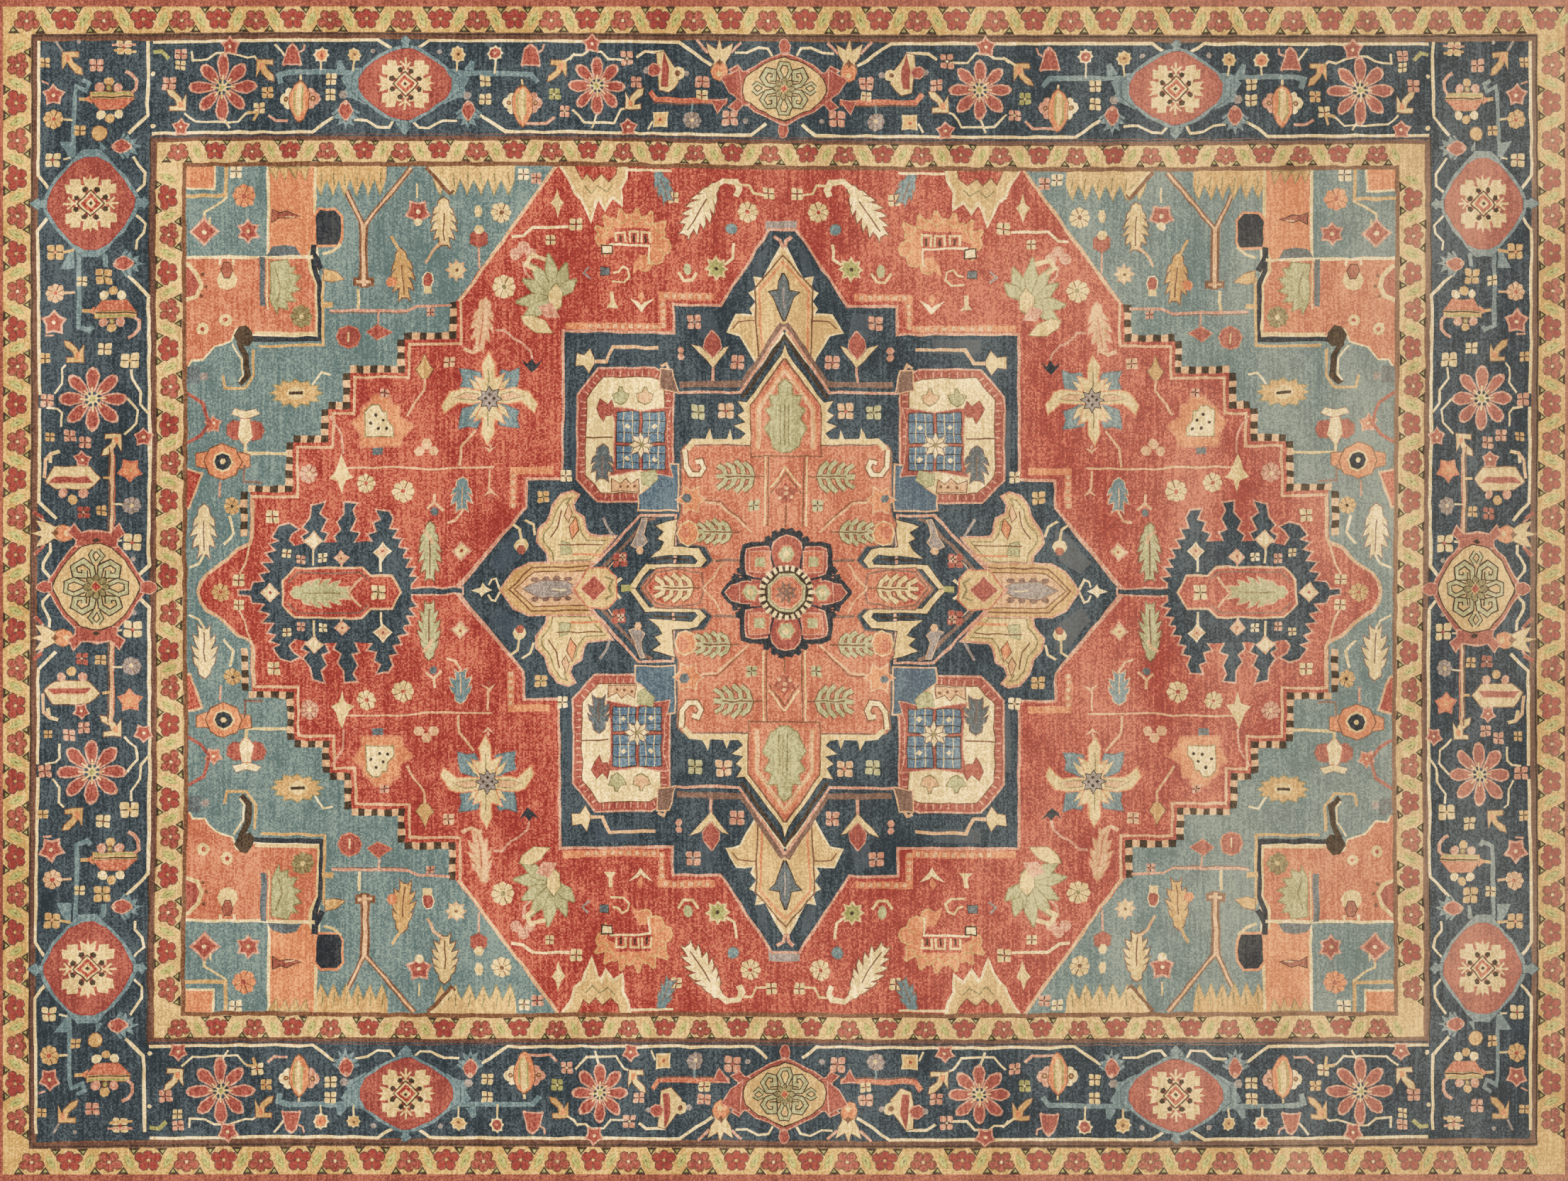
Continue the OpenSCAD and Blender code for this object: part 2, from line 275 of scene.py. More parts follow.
def snowflake(pen, dye="straw"):
    """Eight leafy arms round a diamond, as in the border's medallions."""
    for turn in (0, 180):
        pen.at(turn=turn).fill(dye, both("0,21 1.2,17 5.5,19.5 4.6,14 1.6,10 1.6,4"), "madder", 0.5)
    for turn in (90, 270):
        arm = pen.at(turn=turn)
        arm.line(dye, [(0, 5), (0, 19)], 1.6)
        arm.line(dye, [(-4, 16), (0, 12), (4, 16)], 1.5)
        arm.line(dye, [(-2.5, 9.5), (2.5, 9.5)], 1.4)
    for turn in (45, 135, 225, 315):
        arm = pen.at(turn=turn)
        arm.fill(dye, both("0,19 2.5,22 7,17 4.5,13.5 7.5,11 2.4,8.5 1.6,4"), "madder", 0.5)
    for turn in (22, 67, 113, 158, 202, 247, 293, 338):
        pen.at(turn=turn).fill("umber", ring(2.2, 5, 0, 10.5))
    pen.fill(dye, ring(8.6, 4), "umber", 0.8)
    pen.fill("madder", ring(6.8, 4))
    pen.fill(dye, ring(3.8, 4))
    pen.fill("umber", ring(1.5, 4))


def leafy_bud(pen, dye="rose", leaf="grey_blue"):
    """A red bud that points up, in a ruff of pale leaves that hangs below it."""
    pen.line(leaf, "-9,-3 -4,0 0,-3 4,0 9,-3", 2)
    pen.fill(leaf, both("0,-15 1.5,-10 6,-12 4,-7 9,-6 5,-2 4,3"), "navy", 0.3)
    pen.fill("navy", both("0,-10 2,-6 0,-4"))
    pen.fill(dye, both("0,5 3,3 4.5,-1 2.5,-5 0,-7"), "pink", 0.8)
    pen.fill("pink", ring(1.6, 6, 0, 4))


def boat_lily(pen, dye="salmon", stem=True):
    """A boat-shaped flower that lies on its side deck up, with petals above and below and a curling prow."""
    if stem:
        pen.line("gold", "-12,0 -21,0", 2.4)
    pen.fill("apricot", "-17,0 -12,3.5 -12,-3.5")
    pen.fill("gold", "-13,5 15,5 16,2 16,0 -13,0", "brown", 0.5)
    pen.fill(dye, "-13,0 16,0 9,-7.5 -7,-7.5", "brown", 0.4)
    pen.line("green", "-12,3.8 15,3.8", 1.4)
    pen.line("umber", "-12,1.3 16,1.3", 0.9)
    pen.line("pink", "14,4 17,7 17,13 14,17 10,19", 2.4)
    for x, y, hue in ((-7, 8, "pink"), (-1, 12, "gold"), (5, 8, "pink"), (-6, -11, "cream"), (0, -14, "gold"),
                      (6, -11, "cream")):
        pen.fill(hue, ring(3.4, 7, x, y))
    pen.fill("brown", ring(2.6, 6, -1, 7.5))
    pen.fill("green", ring(1.5, 6, -1, 7.5))


def urn_lily(pen, lobe_left="cream", lobe_right="pink"):
    """An upright striped urn with a bulb on each side and a short stem."""
    pen.line("straw", "0,10 0,17", 1.6)
    for side, lobe in ((-1, lobe_left), (1, lobe_right)):
        pen.fill(lobe, ring(3, 7, side * 8, 5))
        pen.fill(lobe, ring(3, 7, side * 8, -4))
        pen.fill(lobe, ring(4.6, 8, side * 10, 0.5))
        pen.fill("brown", ring(2, 6, side * 9.5, 0.5))
        pen.fill("gold", ring(1, 4, side * 9.5, 0.5))
    pen.fill("apricot", both("0,13 4,10 7,4 6.5,-6 3,-14 0,-16"), "brown", 0.6)
    pen.fill("straw", both("0,12 2.2,9 2.6,-6 0,-13"))
    pen.line("green", "-3.4,7 -3.6,-6 -1.5,-12", 1.3)
    pen.line("green", "1.8,9 2.2,-8", 1.3)


def crown_flower(pen, dye="straw"):
    """A three-pronged cream crown on an orange cup."""
    pen.fill(dye, both("0,17 2,10 9,14 7,6 4,1 6,-4 2,-8 0,-9"), "brown", 0.5)
    pen.line("pink", "-15,15 -8,8", 2)
    pen.line("pink", "15,15 8,8", 2)
    pen.fill("apricot", both("0,2 4,-1 6,-5 4,-10 0,-12"), "brown", 0.4)
    pen.fill("brown", both("0,4 2,0 0,-2"))
    pen.fill("straw", both("0,-5 2.4,-7 0,-9"))


def bell(pen, dye="rose"):
    pen.fill(dye, both("0,7 3,5 4.5,0 6,-6"), "pink", 1.1)
    pen.line("pink", "4,2 8,4 9,8", 1.4)
    pen.dots("pink", 1.2, "-6,-7 6,-7 0,8", 4)


def frond(pen, length, reach, lobes=4, dye="leaf", edge="brown"):
    """A stem along +Y with paired lobes that grow short towards its tip."""
    step = length * 0.8 / lobes
    for thick, hue in ((4.6, edge), (3.1, dye)):
        for i in range(lobes):
            y = length * 0.16 + i * step
            out = reach * (1 - 0.5 * i / lobes) * (0.8 if i == 0 else 1)
            for side in (-1, 1):
                pen.line(hue, [(0, y), (side * out * 0.6, y + step * 0.3), (side * out, y + step * 1.05)], thick)
        pen.line(hue, [(0, length * 0.2), (0, length)], thick)
    pen.line(edge, [(0, -length * 0.12), (0, length * 0.8)], 1)


# ---- the main border ----


def red_palmette(pen, stretch=1):
    """The border's red medallion in its grey-blue frame. stretch draws it out along its length."""
    def lens(outline):
        return four([(x, y * stretch) for x, y in as_points(outline)])

    pen.fill("grey_blue", lens("6,38 11,33 23,20 31,7 33,0"), "navy", 0.4)
    pen.fill("grey_blue", lens("-1,39 7,38 12,41 12,32 0,27"))
    pen.fill("rose", lens("4,32 12,28 22,16 28,5 29,0"), "madder_deep", 0.8)
    snowflake(pen.at(size=1 + 0.8 * (stretch - 1)))
    for side, reach in ((-1, 40), (1, 38)):
        pen.fill("grey_blue", [(side * 30, 3.5), (side * 34, 2.5), (side * 36, 4.5), (side * reach, 1.5),
                               (side * (reach + 1.5), 0), (side * reach, -1.5), (side * 36, -4.5),
                               (side * 34, -2.5), (side * 30, -3.5)], "navy", 0.4)


def gold_palmette(pen, stretch=1):
    """The border's middle medallion: a gold lens full of curled leaves. stretch draws out its frame."""
    def lens(outline):
        return four([(x * (2 - stretch), y * stretch) for x, y in as_points(outline)])

    pen.fill("rose", lens("3,32 12,31 21,21 27,11 32,3"), "pink", 1)
    for rise in (1, -1):
        crown = pen.at(rise=rise)
        crown.fill("rose", both("0,39 10,38 15,44 18,38 13,34 13,29"), "pink", 1)
        crown.fill("umber", both("0,35 3,33 0,31"))
    pen.fill("straw_gold", lens("3,30 10,28 19,19 25,9 29,0"), "umber", 0.8)
    for x, y in QUARTERS:
        curl = pen.at(0, 0, flip=x, rise=y)
        curl.line("umber", "2,7 3,14 9,18 15,14 14,8 8,8 8,12", 4.6)
        curl.line("leaf", "2,7 3,14 9,18 15,14 14,8 8,8 8,12", 2.8)
        curl.line("umber", "8,2 15,5 20,3 20,0", 3.8)
        curl.line("leaf", "8,2 15,5 20,3 20,0", 2.2)
        curl.line("umber", "1,17 4,22 1,26", 3.4)
        curl.line("leaf", "1,17 4,22 1,26", 1.9)
    for turn in range(0, 360, 45):
        pen.at(turn=turn).fill("olive", both("0,9 2,7 1.2,2"), "umber", 0.5)
    pen.fill("madder", ring(3, 4), "gold", 0.8)
    for side in (-1, 1):
        pen.fill("rose", [(side * 30, 3), (side * 35, 4), (side * 39, 2), (side * 40, 0), (side * 39, -2),
                          (side * 35, -4), (side * 30, -3)], "pink", 0.7)


def end_border(pen):
    """The upper half of the left main border, from the middle to its corner."""
    pen.line("cream", "-525,388 -525,293 -516,282", 2.2)
    pen.line("cream", "-517,265 -525,254 -524,138", 2.2)
    pen.line("cream", "-524,129 -524,62 -512,50", 2.2)
    pen.line("cream", "-516,33 -516,27 -521,18 -521,14 -514,7", 2)
    pen.line("cream", "-452,388 -452,335 -464,322", 2.4)
    pen.line("cream", "-461,306 -453,294 -453,286 -460,280", 1.8)
    pen.line("cream", "-460,266 -452,258 -453,252 -458,246 -458,240", 1.8)
    pen.line("cream", "-464,222 -450,207 -450,18 -459,8", 2.4)

    palmette = pen.at(-489, 273)
    pen.line("grey_blue", "-496,361 -491,358 -493,353 -500,356 -501,350 -501,306", 2.8)
    pen.fill("grey_blue", "-511,317 -502,317 -502,303")
    pen.line("grey_blue", "-482,306 -483,316 -480,311", 2.4)
    pen.line("grey_blue", "-497,240 -497,186 -490,183 -488,186", 3.2)
    pen.fill("grey_blue", "-510,227 -500,227 -500,245")
    pen.line("grey_blue", "-484,240 -479,236 -479,228", 3)
    red_palmette(palmette)

    # The upper field of flowers, between the corner and the red medallion.
    pen.line("lilac", "-513,388 -509,381", 1.8)
    pen.dots("lilac", 1.5, "-498,387")
    square_flower(pen, -468, 383, 10, "straw", "madder")
    pen.line("pink", "-476,385 -460,385", 1.6)
    pen.line("gold", "-475,381 -460,380", 1.8)
    arrow_flower(pen, -503, 374)
    square_flower(pen, -521, 373, 7, "gold", "brown")
    square_flower(pen, -486, 371, 9, "pink", "rose")
    star_flower(pen, -515, 350, 6.5)
    pen.line("pink", "-523,360 -518,358", 1.4)
    boat_lily(pen.at(-477, 347))
    sun_flower(pen, -515, 333, 6.5, "gold", "madder")
    pen.line("straw", "-508,333 -502,333", 1.6)
    square_flower(pen, -497, 325, 7, "gold", "brown")
    pen.fill("gold", ring(5, 10, -484, 323), "brown", 0.5)
    leafy_bud(pen.at(-470, 313, turn=90))
    square_flower(pen, -515, 304, 10, "straw", "madder")
    pen.line("cream", "-508,305 -503,306", 1.4)

    # Between the red medallion and the rosette.
    square_flower(pen, -513, 239, 11, "gold", "apricot")
    pen.line("gold", "-508,239 -500,240", 2)
    square_flower(pen, -480, 221, 11, "gold", "olive")
    square_flower(pen, -495, 218, 7, "straw", "brown")
    sun_flower(pen, -513, 210, 6.5, "peach", "madder")
    pen.line("peach", "-507,210 -500,210", 1.8)
    leafy_bud(pen.at(-468, 230, turn=90))
    boat_lily(pen.at(-474, 197, rise=-1))
    star_flower(pen, -514, 189, 7.5)
    pen.line("pink", "-520,180 -514,180", 1.4)
    arrow_flower(pen.at(-500, 167, flip=-1, rise=-1), 0, 0)
    square_flower(pen, -520, 164, 7, "gold", "brown")
    square_flower(pen, -480, 170, 9, "straw", "brown")
    square_flower(pen, -463, 162, 12, "straw", "gold", tall=0.8)

    # The rosette, its vines and the flowers that hang on them.
    pen.line("cream", "-506,159 -509,156 -509,146 -514,139", 1.5)
    pen.line("cream", "-519,129 -512,128 -509,125 -509,115", 1.5)
    pen.line("cream", "-462,156 -462,149 -456,140 -456,131 -451,125", 1.7)
    pen.line("cream", "-465,135 -458,127 -459,118 -467,110", 1.6)
    rosette(pen, -488, 135, 21)
    square_flower(pen, -519, 134, 9, "pink", "rose")
    star_flower(pen, -454, 108, 5.5)
    square_flower(pen, -517, 108, 6, "gold", "brown")
    square_flower(pen, -503, 109, 8, "pink", "rose")
    square_flower(pen, -493, 104, 8, "pink", "rose")
    arrow_flower(pen.at(-475, 104, flip=-1), 0, 0, dye="straw")
    pen.line("straw", "-510,98 -516,96 -517,90", 2.4)

    # Between the rosette and the gold medallion.
    pen.line("peach", "-475,101 -475,38", 2.2)
    pen.line("brown", "-477,101 -477,38", 0.8)
    pen.line("salmon", "-473.4,96 -473.4,42", 0.9)
    pen.fill("straw", "-520,77 -514,87 -490,87 -483,79 -490,71 -513,71", "brown", 0.7)
    pen.fill("rose", "-518,76 -514,80 -492,80 -488,76", "peach", 0.8)
    pen.line("peach", "-521,79 -520,92 -515,97", 2.2)
    for x, y, hue in ((-508, 68, "pink"), (-501, 64, "gold"), (-494, 68, "pink")):
        pen.fill(hue, ring(3.4, 7, x, y))
    pen.line("gold", "-481,79 -476,79", 2)
    star_flower(pen, -463, 85, 7, "apricot", "salmon", "gold", 5, -90)
    sun_flower(pen, -462, 60, 6, "lilac", "straw")
    pen.line("cream", "-475,61 -468,61", 1.4)
    star_flower(pen, -495, 92, 5, dye="rose")
    square_flower(pen, -494, 55, 8, "rose", "pink", tall=1.1)
    square_flower(pen, -482, 56, 7, "gold", "brown")
    square_flower(pen, -461, 34, 12, "straw", "madder")
    pen.line("cream", "-476,35 -468,35", 1.4)
    crown_flower(pen.at(-512, 40, turn=90))
    pen.dots("lilac", 2, "-460,22")
    pen.line("rose", "-528,55 -521,51", 2.4)
    pen.line("rose", "-526,25 -521,31", 2.4)


def side_border(pen):
    """The left half of the back main border, from the corner to its middle."""
    pen.line("cream", "-446,386.5 -287,387 -277,381", 2.2)
    pen.line("cream", "-259,381 -250,387 -70,387 -47,371", 2.2)
    pen.line("cream", "-446,322 -332,322 -319,332 -312,334", 2.2)
    pen.line("cream", "-303,331 -294,330 -287,325 -278,325 -274,331", 1.8)
    pen.line("cream", "-262,330 -257,325 -250,325 -240,330 -230,330", 1.8)
    pen.line("cream", "-214,334 -196,322 -18,322 -8,330", 2.2)

    # The corner flowers and the outer rosette.
    pen.line("green", "-446,379 -440,380 -435,375", 2.6)
    pen.dots("cream", 1.8, "-446,364 -445,327")
    square_flower(pen, -427, 378, 8, "pink", "rose", tall=0.8)
    square_flower(pen, -427, 370, 7, "straw", "brown")
    square_flower(pen, -435, 357, 9, "pink", "rose")
    arrow_flower(pen.at(-429, 344, flip=-1, rise=-1), 0, 0, dye="straw")
    pen.line("cream", "-419,380 -419,373 -408,374 -402,378 -392,378", 1.5)
    pen.line("cream", "-392,378 -386,376 -380,374 -375,375 -371,371 -364,372", 1.5)
    pen.line("cream", "-424,336 -416,330 -385,329 -380,335 -376,336", 1.5)
    pen.line("cream", "-398,336 -391,325", 1.5)
    rosette(pen, -397, 354, 20, wide=1.1)
    star_flower(pen, -392, 383, 6)
    star_flower(pen, -426, 326, 5.5)
    square_flower(pen, -371, 339, 8, "straw", "madder")
    pen.line("gold", "-379,336 -372,336 -374,330", 2)
    arrow_flower(pen, -367, 367)
    square_flower(pen, -365, 350, 8, "gold", "apricot")
    pen.line("cream", "-360,384 -352,374", 1.6)
    pen.line("pink", "-364,334 -359,330 -350,330", 1.8)

    # The red medallion and the flowers on its arms.
    pen.line("grey_blue", "-355,356 -357,362 -350,364 -305,364", 3.6)
    pen.line("grey_blue", "-229,363.5 -178,363 -173,357", 3.6)
    for side in (-1, 1):
        arm = pen.at(-267, 355, flip=side)
        arm.fill("grey_blue", "36,12 46,5 42,-2 45,-8 38,-9 28,-14 24,0 28,12")
        arm.fill("lilac", ring(3.2, 6, 44, -7))
        arm.fill("grey_blue", "42,11 46,18 49,17 49,10")
    pen.at(-268).fill("grey_blue", both("0,390 2,389 2,380"))
    pen.at(-268).fill("grey_blue", both("0,334 3,334 6,330 3,324 0,322"), "navy", 0.3)
    red_palmette(pen.at(-267, 356, turn=90, size=0.86), 1.17)
    bell(pen.at(-348, 376))
    bell(pen.at(-178, 376))
    stem_flower(pen, -327, 376, 365)
    stem_flower(pen, -304, 376, 365, 4, "gold", "straw", "brown")
    stem_flower(pen, -230, 377, 365, 4.5, "gold", "straw", "brown")
    stem_flower(pen, -203, 378, 363, 4.5, "rose", "cream", "pink")
    pen.dots("lilac", 2, "-290,379 -243,379")
    for x, y in ((-320, 359), (-320, 348), (-210, 358), (-210, 345)):
        square_flower(pen, x, y, 8, "straw", "brown")
    leafy_bud(pen.at(-309, 338))
    leafy_bud(pen.at(-222, 338))
    urn_lily(pen.at(-342, 345))
    urn_lily(pen.at(-184, 342))
    pen.line("pink", "-182,328 -166,328 -161,333", 2)
    arrow_flower(pen.at(-159, 367, flip=-1), 0, 0)
    pen.line("cream", "-154,372 -146,378", 1.6)
    square_flower(pen, -161, 349, 8, "green", "straw")
    square_flower(pen, -154, 337, 8, "pink", "straw")

    # The inner rosette and its vines.
    pen.line("cream", "-150,374 -147,377 -140,377 -136,380 -127,380 -122,374 -110,374", 1.6)
    pen.line("cream", "-148,338 -140,329 -118,329 -112,338 -106,340", 1.6)
    pen.line("cream", "-130,336 -134,325", 1.6)
    rosette(pen, -130, 355, 19)
    star_flower(pen, -134, 385, 6)
    star_flower(pen, -107, 326, 5.5)
    square_flower(pen, -108, 375, 9, "pink", "straw", tall=1.2)
    square_flower(pen, -101, 358, 8, "pink", "rose")
    arrow_flower(pen.at(-103, 345, rise=-1), 0, 0, dye="straw")

    # The tilted lily, the salmon bar and the crown beside the gold medallion.
    pen.line("cream", "-81,380 -95,380 -101,376", 2)
    lily = pen.at(-80, 366)
    lily.fill("straw", "-6,13 -1,14 7,3 10,-7 3,-15 -4,-13 -6,0", "brown", 0.5)
    lily.fill("rose", "-1,14 3,3 2,-11 -3,-11 -3,2")
    lily.fill("rose", ring(4, 7, -8, 1), "pink", 1)
    lily.fill("straw", ring(4.6, 8, 10, -1))
    lily.fill("brown", ring(2, 6, 9.5, -1))
    lily.dots("lilac", 2.2, "16,-1 -14,1")
    pen.line("salmon", "-91,352 -87,346 -35,345.5", 3.6)
    pen.line("brown", "-88,343.4 -36,343.2", 0.6)
    square_flower(pen, -53, 359, 10, "pink", "rose", tall=0.7)
    square_flower(pen, -53, 350, 8, "straw", "rose", tall=0.7)
    pen.line("pink", "-57,388 -50,381", 2)
    crown_flower(pen.at(-41, 372))
    star_flower(pen, -83, 332, 6, "gold", "straw", "madder", 4, 45)
    pen.line("cream", "-92,325 -89,331", 1.5)
    sun_flower(pen, -60, 332, 6, "lilac", "straw")
    pen.line("grey_blue", "-60,344 -60,338", 1.4)
    square_flower(pen, -33, 334, 11, "pink", "rose")
    pen.dots("lilac", 2, "-22,332")
    pen.fill("rose", "-46,346 -36,347 -42,338", "pink", 0.8)
    pen.line("cream", "-30,380 -22,380 -14,384 -7,383 -4,378", 1.7)


def middle_medallions():
    """The gold medallions in the middle of each main border."""
    for side in (-1, 1):
        gold_palmette(Pen().at(side * 487, 2, flip=side))
        wide = Pen().at(0, side * 355, turn=90, size=0.86, flip=side)
        gold_palmette(wide, 1.12)
        bud = Pen().at(0, 0, rise=side)
        for flip in (-1, 1):
            wing = bud.at(flip=flip)
            wing.fill("rose", "32,368 44,362 38,352 30,346", "pink", 0.8)


def straight_lines():
    """Thin lines of one dye that run the length of the stripes."""
    for sx, sy in QUARTERS:
        pen = Pen().at(flip=sx, rise=sy)
        pen.line("brown", "-527.6,0 -527.6,388.4 0,388.4", 1)
        pen.line("umber", "-531.2,0 -531.2,391.6 0,391.6", 1)
        pen.line("umber", "-451.4,0 -451.4,320.4", 0.9)
        pen.line("navy", "-450.4,319.6 0,319.6", 1)
        pen.line("brown", "-447.4,0 -447.4,316.4 0,316.4", 1)


# ---- the guards, the gold stripes of small flowers ----


def guard_flower(pen, dark, small):
    """A lobed flower that hangs from the guard's edge between two leaf tips."""
    petal, heart = ("madder_deep", "gold") if dark else ("rose", "straw")
    lobes = [(-5.6, 1.6), (5.6, 1.6), (-3.2, -4.2), (3.2, -4.2), (0, 3.4)]
    for x, y in lobes:
        pen.fill("maroon" if dark else "brown", ring(3.8, 7, x, y))
    for x, y in lobes:
        pen.fill(petal, ring(3.1 if dark else 2.8, 7, x, y))
    pen.fill("maroon", ring(3, 6))
    for x, y in lobes:
        pen.fill(petal, ring(1.9, 5, x * 0.6, y * 0.6))
    pen.fill(heart, ring(1.3, 5, 0, -0.5))
    for side in (-1, 1):
        tip = pen.at(flip=side)
        tip.fill("umber", f"5,{small} 13,{small} 9.5,{small - 5.5}")
        tip.fill("green", f"8,{small - 1.6} 11,{small - 1.6} 9.5,{small - 4}")


def guard(pen, start, pitch, count, half, size, swing):
    """A run of flowers along a guard from the pen's place. Every second one hangs from the other edge."""
    for i in range(count):
        side = 1 if i % 2 else -1
        place = pen.at(start + i * pitch, side * swing, size=size, rise=side)
        guard_flower(place, i % 2 == 1, (half - swing) / size)
        leaf = pen.at(start + (i + 0.5) * pitch, 0, turn=62 * side, size=size)
        leaf.fill("guard_leaf", "-5,0 -1.5,1.9 2.5,1.8 5.5,0 2.5,-1.9 -1.5,-1.8", "green", 0.6)
        leaf.fill("olive", "-2,0 0,0.8 2,0 0,-0.8")


def all_guards():
    guard(Pen().at(0, 402.5), -534.5, 26.15, 42, 9.4, 1, 1)
    guard(Pen().at(0, -402.5), -530.5, 26.15, 41, 9.4, 1, 1)
    guard(Pen().at(0, 308.9), -432, 26.4, 33, 7.9, 0.86, 0.8)
    guard(Pen().at(0, -308.9), -430, 26.4, 33, 7.9, 0.86, 0.8)
    for side in (-1, 1):
        guard(Pen().at(side * 541.5, 0, turn=90), -374, 26.6, 29, 9.4, 1, 1)
        guard(Pen().at(side * 438.2, 0, turn=90), -282, 26.6, 22, 9.4, 0.95, 1)


# ---- the red field ----


def lobed_palmette(pen):
    """A big salmon flower with a red heart, and a hooked stem below it."""
    for x, y, r in ((-22, 4, 6), (-15, 12, 6), (-4, 15, 6), (8, 14, 6), (17, 9, 6), (22, 0, 5.5), (16, -7, 5.5),
                    (8, -13, 4.5), (-18, -4, 5)):
        pen.fill("apricot", ring(r, 8, x, y), "gold", 1)
    for x, y, turn in ((-24, 9, 50), (-19, 15, 30), (-9, 19, 10), (2, 20, -4), (12, 18, -20), (20, 13, -45)):
        pen.at(x, y, turn=turn).fill("apricot", both("0,6 3.4,-1 0,-3"), "gold", 0.7)
    pen.fill("apricot", "-22,2 -14,14 14,14 20,2 12,-8 -16,-6")
    pen.fill("madder", "-21,-9 -21,3 -14,6 -14,12 12,12 13,3 11,-8 4,-6 0,-13 -6,-20 -21,-20")
    pen.line("cream", "-19,0.4 11,-0.2 11,-12 3,-15", 1.6)
    pen.fill("apricot", "3,-8 9,-6 10,-13 4,-16 -2,-20 0,-13")
    for x in (-10, 0, 9):
        pen.line("straw", [(x - 3.2, 2), (x - 3.2, 9), (x + 3.2, 9), (x + 3.2, 2)], 1.6)
        pen.line("umber", [(x, 2), (x, 7)], 1.4)
    pen.fill("cream", box_outline(-24, -6, -17, -1), "umber", 0.9)
    pen.fill("slate", box_outline(-25, -21, -19, -16), "umber", 0.5)
    pen.line("straw", "-17,-26 -8,-26 -4,-22 -5,-17 -9,-15 -12,-19 -16,-20", 1.5)
    pen.line("lilac", "-34,-16 -38,-20 -33,-24", 1.5)


def fan_palmette(pen):
    """A big pale green flower that fans out down to the left, with a long curled leaf above it."""
    for turn, length in ((60, 26), (35, 30), (8, 32), (-20, 26), (95, 28), (120, 25), (-48, 20)):
        pen.at(turn=turn).fill("leaf", both(f"0,{length} 4.5,{length * 0.62} 2,{length * 0.2}"), "olive", 0.6)
    pen.fill("straw", both("0,10 5,4 4,-5 0,-8"), "olive", 0.6)
    pen.fill("pink", "-3,-3 -12,-6 -7,-14 3,-13")
    pen.line("straw", "-14,20 -20,24 -16,30 -6,27", 3)
    pen.fill("straw", "-24,-13 -16,-12 -8,-16 -2,-24 -14,-24 -22,-18", "olive", 0.5)


def star_lily(pen):
    """A big flower of eight unlike petals, its long ones curved like horns."""
    for turn, hue in ((45, "grey_blue"), (135, "grey_blue"), (225, "grey_blue"), (315, "grey_blue")):
        pen.at(turn=turn).fill(hue, "-1,3 -5,13 -8,20 -3,23 0,29 4,24 8,18 5,12 2,4", "slate", 0.7)
        pen.at(turn=turn).fill("straw", "-1,3 -3,12 0,20 2,12 2,4", "cocoa", 0.4)
    for flip in (1, -1):
        horn = pen.at(flip=flip)
        horn.fill("straw", "3,-2 12,-3 22,-2 31,-10 33,-4 27,5 18,7 4,5", "apricot", 0.9)
        horn.fill("peach", "8,-1 18,0 24,1 16,4 8,3", "olive", 0.6)
    for rise in (1, -1):
        spike = pen.at(rise=rise)
        spike.fill("straw", "-5,5 -10,15 -4,13 -5,24 -1,32 3,24 3,14 10,17 5,5", "apricot", 0.9)
        spike.line("olive", "-1,8 -1,20", 0.9)
    pen.fill("lilac", star(8, 8, 5), "umber", 0.6)
    pen.dots("umber", 1.4, "0,3 3,0 0,-3 -3,0", 4)


def heart_palmette(pen):
    """A salmon flower whose heart is a cream shield with dots."""
    pen.fill("apricot", "-20,1 -14,5 -13,11 -8,14 -5,19 5,19 7,13 12,12 13,4 22,-2 15,-10 14,-16 -14,-16 -14,-8",
             "salmon", 1.2)
    pen.fill("cream", "-11,8 -7,12 -2,12 0,8 3,8 4,2 8,-3 8,-9 -11,-9", "olive", 0.8)
    pen.dots("umber", 1.3, "-4,6 1,2 -2,-4 4,-4 -8,0", 5)
    pen.fill("slate", box_outline(-6, -22, 1, -17))


def wing_bud(pen, wing="cream", heart="rose"):
    """A small flower that spreads two wings."""
    pen.fill(wing, both("0,-7 3,-3 9,3 2,0 0,-2"))
    pen.fill(heart, both("0,8 2.6,4 0,-1"))


def field_top(pen):
    """The flowers between the medallion's side point and the inner guard."""
    saw_leaf(pen.at(-71, 250, turn=-33), 45, 19, 7, "cream", "brown")
    pen.line("cream", "-47,286 -42,290 -33,289 -31,284 -33,279", 4)
    sun_flower(pen, -25, 268, 7, "straw", "madder")
    pen.line("straw", "-32,287 -24,287 -21,281 -14,280", 1.7)
    square_flower(pen, -10, 281, 8, "straw", "madder")
    star_flower(pen, -48, 228, 7, "green", "straw", "umber", 8)
    pen.line("cream", "-42,231 -36,235 -35,246", 2)
    pen.fill("grey_blue", ring(4, 8, -37, 256), "cocoa", 0.6)
    pen.fill("leaf", ring(3.2, 8, -69, 227, tall=1.5))
    pen.line("straw", "-76,225 -72,219 -66,219 -62,225", 2)
    square_flower(pen, -78, 277, 8, "straw", "madder")
    saw_leaf(pen.at(-82, 274, turn=20), 24, 11, 4, "grey_blue", "cocoa")
    pen.line("cream", "-112,296 -80,296", 1.8)


